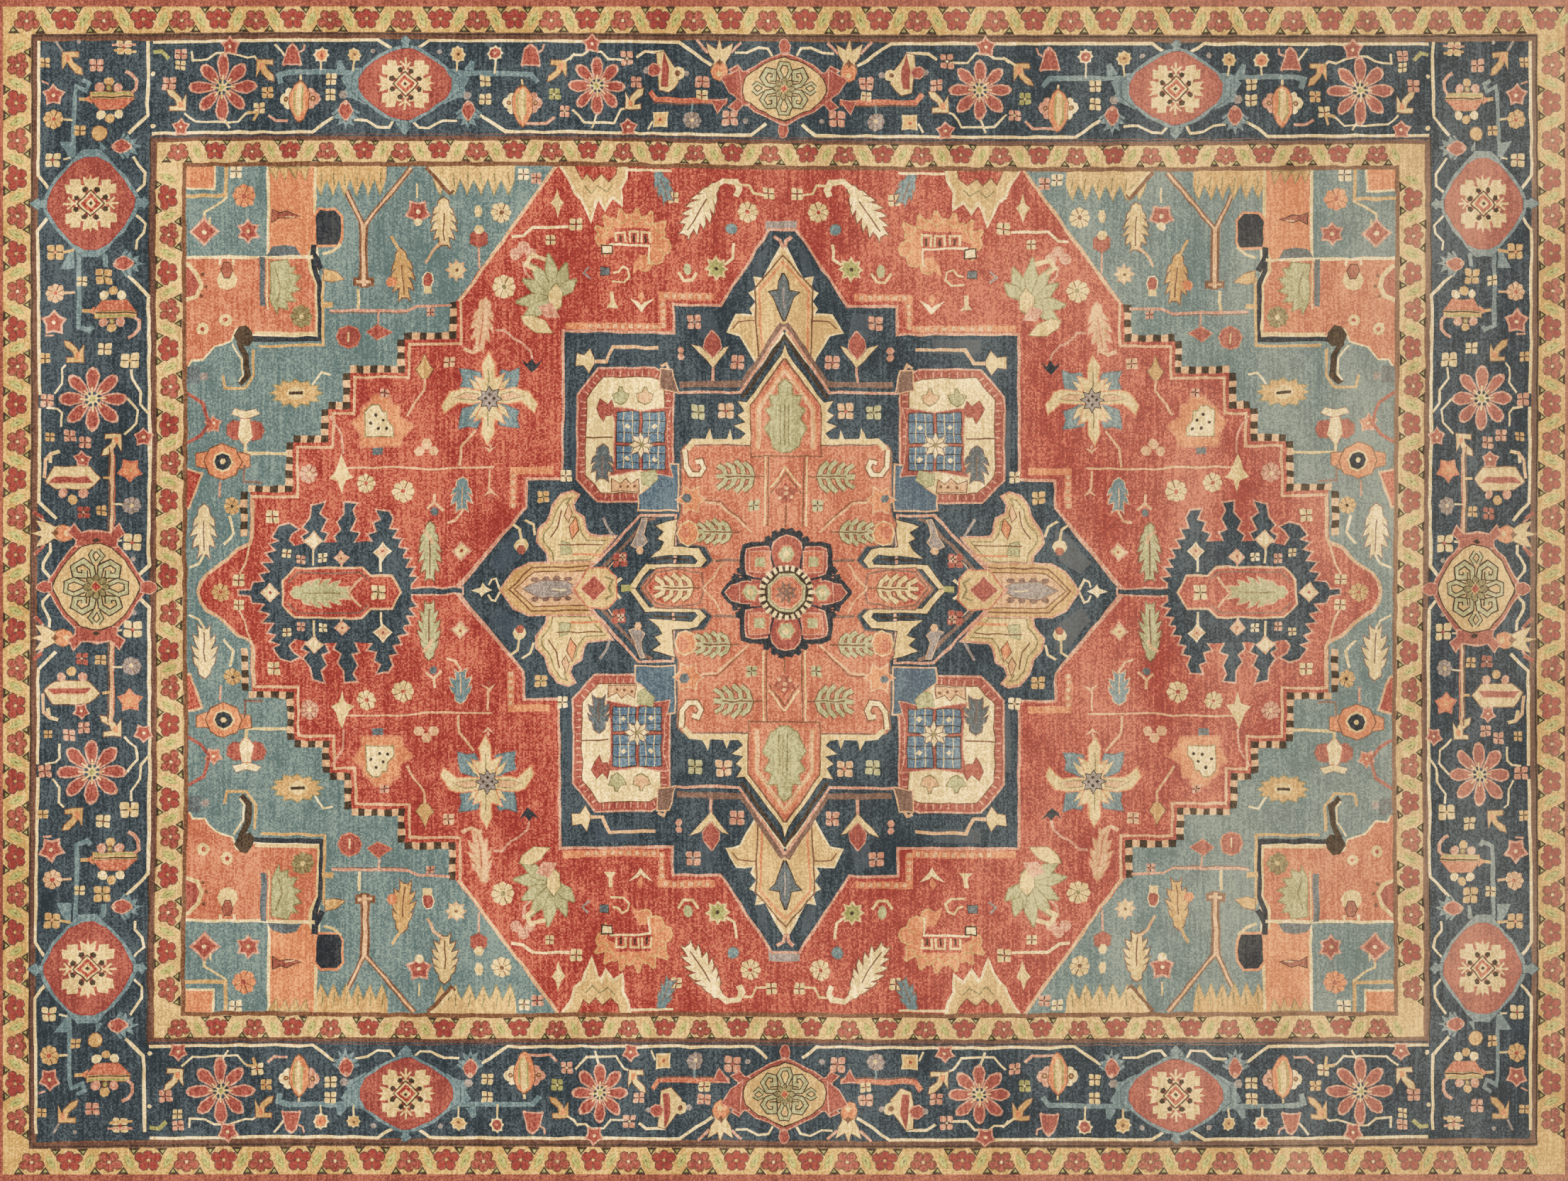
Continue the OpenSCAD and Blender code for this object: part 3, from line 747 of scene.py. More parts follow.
def field_quarter(pen):
    lobed_palmette(pen.at(-104, 243))
    pen.fill("straw", "-126,199 -117,199 -120,203 -120,210 -123,210 -123,203")
    wing_bud(pen.at(-99, 203), "cream", "apricot")
    pen.fill("straw_gold", "-156,298 -150,289 -147,280 -142,276 -136,262 -133,273 -129,277 -125,270 -120,278"
             " -114,273 -114,283 -110,291 -109,298", "cream", 2.2)
    pen.fill("madder", "-146,298 -142,289 -138,293 -133,288 -128,293 -122,288 -117,293 -116,298", "brown", 0.7)
    pen.line("olive", "-140,284 -135,279 -130,284 -124,280 -119,285", 1)
    pen.fill("straw", "-160,282 -158,275 -155,272 -158,268 -160,261 -162,268 -165,272 -162,275")
    pen.line("cream", "-193,248 -185,249 -178,255 -152,255", 2)
    square_flower(pen, -147, 257, 9, "straw", "madder")
    square_flower(pen, -166, 246, 7, "straw", "rose")
    for x, y in ((-190, 236), (-180, 236), (-185, 241)):
        pen.fill("pink", ring(4.2, 8, x, y))
    pen.line("pink", "-185,231 -184,223 -177,214", 1.8)
    fan_palmette(pen.at(-163, 205))
    sun_flower(pen, -199, 213, 8, "straw", "olive")
    saw_leaf(pen.at(-217, 168, turn=-8), 38, 15, 5, "peach", "salmon")
    pen.line("peach", "-215,170 -221,167 -227,170", 2.6)
    pen.line("pink", "-205,183 -199,183 -192,176 -187,174 -181,168 -180,163", 1.8)
    pen.fill("night", "-187,162 -183,159 -180,163 -177,159 -173,162 -176,157 -180,153 -184,157")
    pen.fill("gold", "-254,166 -251,159 -248,156 -252,150 -256,150 -260,156 -257,159", "brown", 0.6)
    pen.line("peach", "-254,150 -254,142 -261,132 -266,124", 1.7)
    square_flower(pen, -237, 161, 8, "peach", "madder")
    heart_palmette(pen.at(-284, 119))
    star_lily(pen.at(-209, 135))
    pen.fill("peach", ring(3.8, 6, -252, 104))
    pen.fill("peach", ring(3.8, 6, -257, 99))
    pen.fill("peach", ring(3.8, 6, -247, 99))
    pen.line("peach", "-218,113 -228,101 -229,88", 1.8)
    pen.line("peach", "-312,88 -265,88 -252,86 -205,87", 1.4)
    pen.line("pink", "-320,124 -312,112 -311,98", 1.6)
    pen.fill("straw", "-312,98 -309,90 -306,84 -303,81 -309,79 -311,70 -314,79 -320,81 -316,86")
    sun_flower(pen, -335, 84, 6.5, "pink", "straw")
    sun_flower(pen, -294, 77, 6.5, "straw", "madder")
    sun_flower(pen, -268, 71, 7.5, "straw", "madder")
    saw_leaf(pen.at(-227, 56), 24, 14, 4, "grey_blue", "peach")
    pen.line("peach", "-226,57 -231,50 -237,48", 2)
    pen.line("peach", "-246,69 -246,62 -251,58", 2)
    pen.line("peach", "-246,62 -240,57", 2)
    pen.fill("slate", ring(3, 6, -246, 56))
    saw_leaf(pen.at(-249, 7), 42, 15, 6, "leaf", "brown")
    pen.line("peach", "-247,34 -249,39 -254,43", 2)
    star_flower(pen, -227, 28, 5.5, "straw", "pink", "madder", 4)
    pen.line("peach", "-208,85 -208,71", 1.4)
    wing_bud(pen.at(-207, 68, rise=-1, size=0.6), "peach", "rose")
    square_flower(pen, -360, 54, 9, "straw", "madder")
    square_flower(pen, -384, 9, 8, "straw", "madder")
    pen.line("peach", "-384,13 -380,20 -376,35", 1.6)
    wing_bud(pen.at(-208, 100, size=0.5), "peach", "pink")
    square_flower(pen, -250, 196, 6, "pink", "madder")
    square_flower(pen, -282, 140, 6, "pink", "madder")


def field_middle():
    """The flowers on the long axis of the field."""
    for side in (-1, 1):
        pen = Pen().at(4.5 * side, 0, flip=-side)
        sun_flower(pen, -397, 0, 6.5, "gold", "madder")


# ---- the blue corners ----


def checker_steps(pen):
    """The stepped edge of a corner: dark and light squares, then a peach line."""
    steps = points(
        "-232,203 -232,176.9 -268,176.9 -268,153.9 -306,153.9 -306,128.9 -321,128.9 -321,105.9 -346,105.9 -346,71"
        " -378,71 -378,40"
    )
    pen.line("peach", offset(steps, 3.2, False), 1.9)
    for (x0, y0), (x1, y1) in zip(steps, steps[1:]):
        length = math.hypot(x1 - x0, y1 - y0)
        count = max(2, round(length / 5))
        for i in range(count):
            a, b = i / count, (i + 1) / count
            if x0 == x1:
                square = box_outline(x0 - 5, y0 + (y1 - y0) * b, x0, y0 + (y1 - y0) * a)
            else:
                square = box_outline(x0 + (x1 - x0) * b, y0, x0 + (x1 - x0) * a, y0 + 5)
            pen.fill(("umber", "peach")[i % 2], square)


def tree(pen):
    """A bare forked tree, with combs of gold and cream leaves that hang from the corner's edge."""
    for path, width in (("-308,281 -296,256 -262,297", 4), ("-296,258 -296,213", 6.5), ("-303,217 -289,217", 6)):
        pen.line("brown", path, width)
    for path, width in (("-308,281 -296,256 -262,297", 1.8), ("-296,258 -296,214", 3), ("-301,217 -291,217", 2)):
        pen.line("peach", path, width)
    for x0, x1, hue in ((-330, -280, "gold"), (-247, -190, "straw_gold")):
        comb = [(x0, 297.9), (x1, 297.9)]
        teeth = 6
        for i in range(teeth):
            left = x1 + (x0 - x1) * i / teeth
            right = x1 + (x0 - x1) * (i + 0.5) / teeth
            comb += [(left, 289), (right, 278)]
        comb += [(x0, 289)]
        pen.fill("olive", [(x, y if y > 295 else y - 1.5) for x, y in comb])
        pen.fill(hue, comb)
        for i in range(teeth):
            middle = x1 + (x0 - x1) * (i + 0.5) / teeth
            pen.line("olive", [(middle, 293), (middle + 1, 284)], 0.9)
    pen.line("brown", "-251,298 -234,279", 5)
    pen.line("straw", "-249,298 -234,281", 2.6)


def corner_panel(pen):
    """The apricot panel with its blue square, framed in cream, that fills the outer part of a corner."""
    pen.fill("salmon_deep", "-424,152 -418,163 -410,163 -402,172 -390,176 -387,184 -380,187 -374,180 -328,180"
             " -329,235 -331,298 -424,298", "cream", 1.4)
    pen.fill("apricot", box_outline(-364, 235, -331, 300))
    pen.fill("blue", box_outline(-425, 235, -364, 300), "cream", 2.2)
    pen.fill("apricot", "-431,284 -402,283 -402,298 -431,300", "cream", 1.6)
    pen.line("gold", "-393,298 -393,277 -424,277", 2.6)
    pen.line("straw", "-330,298 -330,243 -334,236 -334,226 -329,216 -329,181 -373,181", 2.4)
    pen.line("night", "-331,241 -331,227 -327,216 -326.4,177.4 -376,177", 3.6)
    pen.line("gold", "-324.6,222 -324.6,173 -370,172.4", 2)
    pen.fill("umber", "-388,180 -384,186 -379,187 -375,182 -374,176 -377,172 -385,174")
    pen.line("umber", "-384,175 -379,165 -378,152 -384,146", 4.4)
    pen.line("cream", "-389,173 -382,163 -381.6,152 -385,148", 1.5)
    pen.line("gold", "-374,170 -373.6,152 -380,143 -394,143 -396,152", 2)
    pen.fill("night", "-329,243 -314,243 -312,247 -312,262 -316,267 -326,267 -330,262", "apricot", 1.8)
    pen.line("night", "-331,243 -331,236 -326,226", 4)
    pen.line("straw", "-325,236 -318,238 -312,243", 2)

    # What lies on the blue square.
    square_flower(pen, -386, 294, 9, "cream", "lilac")
    sun_flower(pen, -380, 277, 8, "apricot", "rose")
    pen.line("straw", "-392,276 -400,270 -408,266 -408,260", 1.7)
    star_flower(pen, -408, 252, 8.5, "rose", "pink", "cream", 4)
    star_flower(pen, -377, 252, 7, "rose", "pink", "straw", 6)

    # What lies on the apricot.
    pen.fill("brick", "-360,267 -355,265 -350,266 -341,262.5 -350,261 -355,262 -360,259", "umber", 0.6)
    for x in (-359, -352, -345, -338):
        pen.fill("gold", [(x - 3, 297), (x + 3, 297), (x + 1, 289)], "olive", 0.7)
    pen.fill("slate", "-364,235 -360,241 -352,243 -344,241 -340,235")
    pen.line("cream", "-362,234 -331,234", 2.4)
    pen.line("peach", "-351,262 -345,262", 1.2)
    pen.line("cream", "-397,235 -397,229", 2)
    pen.line("cream", "-387,235 -387,229", 2)
    pen.fill("straw", ring(7.5, 8, -392, 218))
    pen.fill("brick", ring(4, 6, -392, 225, tall=1.5), "umber", 0.5)
    pen.fill("rose", "-430,229 -420,227 -414,221 -412,214 -415,208 -430,203", "straw", 3)
    pen.dots("brown", 1.4, "-409,222 -407,214 -410,207")
    leaf = pen.at(-352, 212)
    leaf.line("slate", "-15,22 -15,-12", 4)
    leaf.line("straw", "-11.5,22 -11.5,-14", 1.2)
    leaf.fill("leaf", "-9,18 2,20 4,15 8,15 5,10 11,8 6,3 11,0 4,-3 8,-8 1,-8 2,-14 -4,-12 -5,-17 -9,-8", "olive", 0.9)
    leaf.line("olive", "-6,14 -2,2 -5,-9", 1.2)
    pen.dots("straw", 4.4, "-393,190 -410,184", 8)
    pen.dots("madder", 1.6, "-393,190 -410,184", 6)
    sun_flower(pen, -340, 193, 7.5, "olive", "straw")


def corner_quarter(pen):
    pen.fill("blue", "-430,0 -413,0 -411,7 -407,13 -399,18 -392,24 -385,31 -376,35 -376,71 -346,71 -346,106 -321,106"
             " -321,129 -306,129 -306,154 -268,154 -268,177 -232,177 -232,203 -160,300 -430,300")
    pen.line("peach", "-413,0 -411,7 -407,13 -399,18 -392,24 -385,31 -376,35 -374,39 -374,66", 2.4)
    pen.line("peach", "-160,299 -230,203", 2.4)
    tree(pen)
    checker_steps(pen)
    corner_panel(pen)

    # Between the panel, the tree and the steps.
    star_flower(pen, -258, 266, 7.5, "rose", "pink", "cream", 5, -90)
    pen.fill("cream", ring(3.4, 7, -258, 259))
    pen.line("straw", "-258,286 -258,276", 1.4)
    saw_leaf(pen.at(-240, 241), 35, 17, 6, "straw", "brown")
    pen.line("peach", "-241,245 -248,239 -253,230", 2)
    saw_leaf(pen.at(-268, 204, turn=4), 36, 15, 5, "gold", "brown")
    pen.fill("apricot", ring(4, 6, -277, 217))
    pen.line("gold", "-271,238 -277,249", 2)
    pen.fill("rose", ring(3.6, 7, -252, 218, tall=1.5), "cream", 0.8)
    pen.fill("straw", box_outline(-255, 209, -249, 214))
    star_flower(pen, -232, 225, 6, "straw", "peach", "brown", 8)
    sun_flower(pen, -200, 265, 7, "straw", "brown")
    pen.fill("straw", ring(3, 6, -216, 266, tall=1.6))
    pen.fill("rose", ring(6.5, 6, -216, 247, start=90), "cocoa", 0.5)
    pen.fill("straw", ring(3.6, 6, -216, 253))
    pen.line("pink", "-216,240 -216,226", 1.5)
    square_flower(pen, -184, 292, 8, "cream", "pink")
    square_flower(pen, -175, 289, 8, "pink", "madder")
    pen.line("pink", "-320,197 -266,196.6 -259,200 -236,200.4", 1.9)
    pen.line("cocoa", "-320,195.6 -266,195.2", 0.7)
    pen.line("straw", "-300,212 -300,198", 2)
    pen.fill("gold", "-324,226 -316,224 -310,219 -318,217 -324,218", "brown", 0.5)
    pen.line("gold", "-326,201 -318,201", 4)
    pen.fill("rose", ring(7.5, 8, -307, 179), "salmon", 1)
    pen.line("straw", "-307,182 -307,175", 1.2)
    pen.fill("rose", "-294,182 -287,187 -278,182 -287,177", "salmon", 0.8)
    pen.line("pink", "-286,198 -286,188", 1.4)

    # The lower tongue of blue, beside the bay.
    eye = pen.at(-344, 140)
    eye.fill("gold", [(x * 1.45, y * 0.78) for x, y in star(12, 12.5, 9.5)], "olive", 0.8)
    eye.fill("straw", ring(7, 8, tall=0.7))
    eye.line("umber", "-5,0 5,0", 2)
    pen.line("cream", "-332,146 -326,154 -319,153", 1.5)
    for side in (-1, 1):
        pen.fill("rose", ring(7, 7, -380 + side * 7, 114), "cocoa", 0.5)
    pen.fill("cream", "-390,125 -380,122 -370,125 -373,129 -380,127 -387,129", "cocoa", 0.4)
    pen.fill("cream", "-383,122 -377,122 -375,110 -380,103 -385,110", "salmon", 0.5)
    pen.line("straw", "-380,105 -380,98 -350,98", 2.2)
    for side in (-1, 1):
        pen.fill("apricot", [(-396 + side * 8, 99), (-396 + side * 19, 97), (-396 + side * 19, 89),
                             (-396 + side * 8, 86)], "brown", 0.6)
    pen.fill("apricot", ring(13, 8, -396, 92, tall=0.95), "brown", 0.8)
    pen.fill("night", ring(6, 8, -396, 92), "straw", 1.4)
    pen.fill("straw", ring(2, 6, -396, 92))
    star_flower(pen, -403, 118, 5.5, "salmon", "pink")
    pen.line("rose", "-424,103 -412,110 -406,118 -410,132 -424,141", 2.4)
    pen.fill("slate", box_outline(-431, 146, -412, 158))
    pen.fill("lilac", ring(3.2, 6, -409, 151))
    pen.line("cocoa", "-381,90 -381,78 -368,78", 1.6)
    saw_leaf(pen.at(-409, 24), 38, 17, 5, "cream", "cocoa")
    pen.line("cream", "-409,26 -412,20 -420,17", 1.8)
    sun_flower(pen, -389, 61, 6, "gold", "umber")
    pen.line("cream", "-391,54 -388,42 -395,34", 2)
    pen.line("pink", "-398,78 -398,67", 1.6)
    pen.fill("madder", "-426,86 -412,83 -420,60 -426,60", "peach", 1.6)
    pen.line("straw", "-404,262 -404,257", 1.6)


# ---- the medallion ----


def medallion_ground():
    pen = Pen()
    for flip, rise in QUARTERS:
        strip = pen.at(flip=flip, rise=rise)
        for path in ("-196,59 -196,84 -168,84", "-88,186 -88,208 -50,208", "-160,186 -90,186"):
            strip.line("apricot", path, 5)
        for x, y in ([(-196, y) for y in range(60, 84, 5)] + [(x, 208) for x in range(-85, -50, 6)]
                     + [(-88, y) for y in range(187, 206, 5)] + [(x, 186) for x in range(-142, -92, 6)]):
            strip.fill("peach", box_outline(x - 1.5, y - 1.5, x + 1.5, y + 1.5), "salmon", 0.6)
    for rise in (1, -1):
        pen.at(rise=rise).fill("lilac", box_outline(-12, 253, 10, 262))
    pen.fill("navy", MEDALLION, "pink", 2)
    for flip, rise in QUARTERS:
        patch = pen.at(flip=flip, rise=rise)
        patch.fill("slate_navy", "-212,20 -196,40 -186,42 -190,22 -205,12")
        patch.fill("slate_navy", "-64,196 -50,197 -46,180 -60,178")
        patch.fill("slate_navy", "-18,238 -10,246 -14,226 -26,212")
        patch.fill("slate_navy", "-136,178 -104,178 -104,168 -136,168")
        patch.fill("slate_navy", "-156,128 -150,128 -150,80 -156,80")


def top_spear(pen):
    """The gold leaf at the medallion's side point, with the salmon spear of the heart under it."""
    teeth = "0,243 14,220 20,221 18,213 23,211 19,205 23,200 20,195 34,195 40,184 31,182 19,160 0,187"
    pen.fill("straw_gold", both(teeth), "cream", 1.5)
    pen.line("brown", "-19,166 -21,214 0,238 21,214 19,166", 1.1)
    pen.line("apricot", "-16,168 -18,213 0,233 18,213 16,168", 1.6)
    pen.line("brown", "-20,192 -33,191 -37,186", 0.9)
    pen.line("brown", "20,192 33,191 37,186", 0.9)
    pen.fill("slate", both("0,225 3,219 4,213 11,212 7,208 4,200 0,192"), "umber", 0.7)
    pen.line("lilac", "0,216 0,200", 1.2)
    for side in (-1, 1):
        hook = pen.at(flip=side)
        hook.line("pink", "1,243 2,248 6,251", 2.6)
        hook.line("cocoa", "-1,190 -30,146.5 -76,145.5", 4.2)
        hook.line("pink", "-0,187.5 -32,140.5 -78,140", 2)
        hook.line("umber", "-0,181 -29,139 -31,137", 2.2)

    # The heart's spear and the serrated leaves that hold it.
    holder = both("0,175 2,168 28,133 34,134 30,127 35,124 29,119 37,117 29,111 34,105 29,103 0,100")
    pen.fill("straw", holder, "umber", 0.5)
    pen.fill("salmon", both("0,164 25,131 25,95"), "brown", 0.9)
    pen.fill("peach", both("0,158 21,129 21,100"), "apricot", 1)
    pen.fill("salmon", both("0,154 18,128 18,100"))
    pen.fill("leaf", both("0,149 4,146 5,138 11,138 9,131 14,128 10,122 15,115 11,108 9,102 3,98"), "olive", 1)
    for x in (-4, -1, 2):
        pen.line("olive", [(x, 103), (x, 132)], 0.9)
    for side in (-1, 1):
        wing = pen.at(flip=side)
        wing.line("straw", "26,105 66,105 71,99", 4)
        wing.fill("straw", "38,106 40,114 43,106")
        wing.fill("straw", "52,106 54,115 58,106")


def upper_flowers(pen):
    """Small flowers on the navy beside the spear."""
    pen.line("pink", "-52,146 -52,163", 2.2)
    pen.fill("straw", "-67,174 -60,172 -52,164 -44,172 -40,173 -52,158", "brown", 0.4)
    pen.at(-52, 172).fill("rose", both("0,12 5,6 6,0 0,-7"), "pink", 0.6)
    square_flower(pen, -65, 190, 10, "pink", "lilac")
    square_flower(pen, -34, 162, 10, "pink", "rose")
    pen.dots("pink", 2.6, "-75,170 -75,165")
    square_flower(pen, -63, 126, 10, "leaf", "olive")
    square_flower(pen, -43, 127, 11, "peach", "madder")
    pen.line("peach", "-92,171 -126,171 -131,161 -145,161", 2.4)
    pen.fill("straw", "-140,163 -143,170 -147,165 -153,166 -153,158 -147,158 -143,153 -140,159", "brown", 0.4)


def panel_quarter(pen):
    """The cream panel with a quartered blue square in it."""
    outline = points("-93,62 -134,62 -149,78 -149,137 -134,156 -93,156 -80,150 -80,68")
    pen.fill("rose", outline, "pink", 1.4)
    inner = outset(outline, -6)
    for (x0, y0), (x1, y1) in zip(inner, inner[1:] + inner[:1]):
        count = max(1, round(math.hypot(x1 - x0, y1 - y0) / 5))
        for i in range(count):
            share = (i + 0.5) / count
            cx, cy = x0 + share * (x1 - x0), y0 + share * (y1 - y0)
            out_x, out_y = (y1 - y0), -(x1 - x0)
            if (cx + 113) * out_x + (cy - 109) * out_y < 0:
                out_x, out_y = -out_x, -out_y
            reach = 4.6 / (math.hypot(out_x, out_y) or 1)
            pen.line("pink", [(cx, cy), (cx + out_x * reach, cy + out_y * reach)], 1)
    pen.fill("cream", inner, "brown", 0.7)
    pen.fill("slate_blue", "-104,56 -76,56 -76,88 -86,88 -96,72 -104,66", "peach", 1.2)
    pen.fill("cocoa", "-88,156 -80,156 -76,140 -88,142", "peach", 1)
    pen.line("peach", "-88,158 -84,160 -82,156", 2)
    pen.fill("rose", "-125,129 -103,126 -81,129 -84,118 -83,92 -80,80 -104,84 -125,80 -122,92 -122,118", "pink", 0.8)
    for x0, x1 in ((-120.5, -104.5), (-101.5, -85.5)):
        for y0, y1 in ((104, 125.5), (84.5, 101)):
            pen.fill("panel_blue", box_outline(x0, y0, x1, y1), "umber", 0.6)
            for share in (0.3, 0.7):
                pen.line("umber", [(x0, y0 + share * (y1 - y0)), (x1, y0 + share * (y1 - y0))], 0.7)
                pen.line("straw", [(x0 + share * (x1 - x0), y0), (x0 + share * (x1 - x0), y1)], 0.7)
    for turn in range(0, 360, 45):
        pen.at(-103, 102, turn=turn).fill("cream", both("0,9 1.8,5 0,1"), "cocoa", 0.4)
    pen.fill("olive", ring(2, 6, -103, 102))
    for x, y in ((-113, 115), (-93, 115), (-113, 92), (-93, 92)):
        pen.fill("cream", ring(2.2, 4, x, y))
    bud = pen.at(-128, 126)
    bud.fill("rose", "-8,2 -5,8 0,4 3,8 5,3 3,-3 -1,-3 -3,-8 -6,-3", "brown", 0.4)
    for x, hue in ((-118, "leaf"), (-100, "peach")):
        leaf = pen.at(x, 137)
        leaf.fill(hue, both("0,6 2,2 6,1 4,-4 0,-6"), "olive", 0.7)
    saw_leaf(pen.at(-131, 76), 26, 15, 4, "slate", "cocoa")
    pen.line("brown", "-144,107 -124,107", 1)
    fruit = pen.at(-112, 72)
    fruit.fill("peach", "-12,-3 -12,5 -6,2 -2,6 2,2 7,5 8,-3", "brown", 0.6)
    fruit.dots("brown", 1.2, "-6,0 0,0 5,1")
    pen.fill("leaf", "-103,82 -92,84 -90,78 -97,72 -102,74", "olive", 0.4)


def arm(pen):
    """The gold leaf at the medallion's long point. Both of its halves are drawn."""
    for rise in (1, -1):
        half = pen.at(rise=rise)
        lobe = ("-166,16 -167,25 -174,34 -173,41 -167,48 -164,58 -158,66 -151,68 -147,66 -151,60 -149,54 -143,50"
                " -141,41 -138,37 -120,36 -136,17")
        half.bands(lobe, (("pink", -1.6), ("straw_gold", 0), ("olive", 2.6), ("straw", 3.6)))
        half.line("brown", "-166,36 -160,44 -158,56", 1)
        half.fill("peach", "-156,52 -153,60 -151,54 -153,48", "brown", 0.7)
        half.fill("apricot", "-152,44 -148,50 -146,42 -150,36", "brown", 0.8)
        half.fill("leaf", "-158,34 -152,32 -150,25 -158,24", "olive", 0.6)
        half.line("brown", "-160,31 -128,31", 0.9)
        half.line("apricot", "-150,24 -126,24", 1.6)
        half.line("straw", "-184,49 -178,45 -176,38", 1.8)
        half.fill("straw", ring(5, 8, -186, 31))
        half.line("straw", "-192,47 -187,43 -186,34", 1.8)
        half.fill("brick", ring(3.2, 6, -186, 28))
        square_flower(half, -171, 65, 9, "gold", "olive")
        square_flower(half, -155, 80, 8, "cream", "peach")
        half.line("cream", "-200,1 -203,8 -206,7 -208,3", 1.6)
        half.line("lilac", "-128,50 -121,37", 2)
    pen.fill("gold", "-199,0 -190,13 -180,18 -137,18 -137,-18 -180,-18 -190,-13", "pink", 1.4)
    pen.line("brown", "-137,15.5 -178,15.5 -194,0 -178,-15.5 -137,-15.5", 1.1)
    pen.fill("peach", "-190,0 -176,12 -140,12 -140,-12 -176,-12", "brown", 0.8)
    for rise in (1, -1):
        for x in (-176, -168, -160, -152):
            pen.fill("cocoa", ring(3, 6, x, rise * 7, tall=0.7))
    pen.fill("lilac", "-184,0 -172,6 -154,5 -146,0 -154,-5 -172,-6", "cocoa", 0.8)
    pen.line("cream", "-164,0 -154,-1", 1)
    pen.fill("cream", "-220,0 -214,2 -213,5 -210,2 -205,0 -210,-2 -213,-5 -214,-2")

    # The navy wedge between the arm and the heart.
    pen.fill("navy", "-148,0 -100,51 -76,51 -76,-51 -100,-51", "pink", 2)
    for rise in (1, -1):
        half = pen.at(rise=rise)
        half.line("cocoa", "-141,0 -96,48 -90,50", 2.4)
        half.line("peach", "-137,0 -115,24", 0.8)
        square_flower(half, -115, 20, 10, "rose", "cream")
        square_flower(half, -113.5, 21.5, 5, "pink", "cream")
        half.fill("lilac", "-107,30 -101,28 -96,33 -99,38 -96,49 -99,49 -103,38", "peach", 0.6)
        half.fill("peach", ring(3, 6, -101, 27))
        half.fill("straw", "-74,49 -81,47 -90,44 -84,40 -88,35 -83,33 -86,27 -93,22 -62,24 -58,20 -60,17 -96,17"
                  " -109,0 -104,0 -93,14 -58,13 -52,20 -58,28 -76,30", "umber", 0.6)
        half.line("umber", "-90,20.5 -64,20.5", 1.2)
        half.line("cream", "-118,3 -114,7", 2)
    pen.fill("straw_gold", "-147,0 -138,13 -124,14 -118,7 -117,-7 -124,-14 -138,-13", "salmon", 1)
    pen.fill("rose", ring(9, 4, -134, 0), "peach", 1)
    pen.line("olive", "-126,-8 -120,-5 -123,0 -120,5 -126,8", 1.6)
    pen.fill("green", box_outline(-114, -2.4, -107, 2.4))


def heart(pen):
    """The salmon heart of the medallion with its leaves, and the cocoa lines that part them."""
    pen.fill("salmon", four("0,102 72,102 75,98 75,51 78,46 76,32 57,30 51,20 57,14 92,14 103,0"), "cocoa", 1)
    for flip, rise in QUARTERS:
        quarter = pen.at(flip=flip, rise=rise)
        for hue, thick in (("brown", 5), ("cream", 3.2)):
            quarter.line(hue, "-73,99 -72,87 -68,81 -62,81 -59,86 -61,91 -65,90", thick)
        quarter.fill("apricot", star(6, 10, 6, -68, 63, start=0), "peach", 1)
        quarter.fill("slate", ring(3.4, 6, -71, 64))
        quarter.line("peach", "-58,61 -48,60 -30,45 -25,40", 1.6)
        quarter.line("brown", "-58,62.6 -47,61.6 -28,45", 0.8)
        quarter.line("cocoa", "-33,20 -50,20", 2)
        quarter.line("brown", "-20,80 -15,80", 1)
        frond(quarter.at(-19, 80, turn=90), 31, 13)
        frond(quarter.at(-36, 40, turn=90), 28, 10)
        quarter.fill("apricot", ring(7, 8, -70, 39, tall=1.2), "straw", 1)
        quarter.fill("salmon", ring(4, 7, -72, 40, tall=1.2))
        square_flower(quarter, -23, 59, 8, "leaf", "olive")
        quarter.line("straw", "-15,44 -15,98 -24,104", 1.3)
        quarter.line("brown", "-12.8,44 -12.8,98", 0.9)
        quarter.line("straw", "-11,72 0,87", 1.5)
        quarter.line("brown", "-11,68 0,83", 0.9)
    for rise in (1, -1):
        flower = pen.at(0, 68 * rise, rise=rise)
        flower.fill("brick", both("0,7 3,4 8,3 5,-2 3,-6"), "madder", 0.6)
        flower.dots("peach", 1.6, "0,0 -4,-3 4,-3 0,4", 5)
        flower.line("brown", "0,-8 0,-24", 1)
    for flip in (1, -1):
        side = pen.at(flip=flip)
        side.fill("salmon", "-100,0 -92,11 -76,13 -60,10 -58,0 -60,-10 -76,-13 -92,-11", "cocoa", 1)
        side.fill("madder", "-98,0 -91,9 -84,11 -84,-11 -91,-9")
        frond(side.at(-62, 0, turn=90), 32, 11, 4, "straw")
        for rise in (1, -1):
            side.at(rise=rise).line("peach", "-59,0 -50,9 -45,18", 1.4)


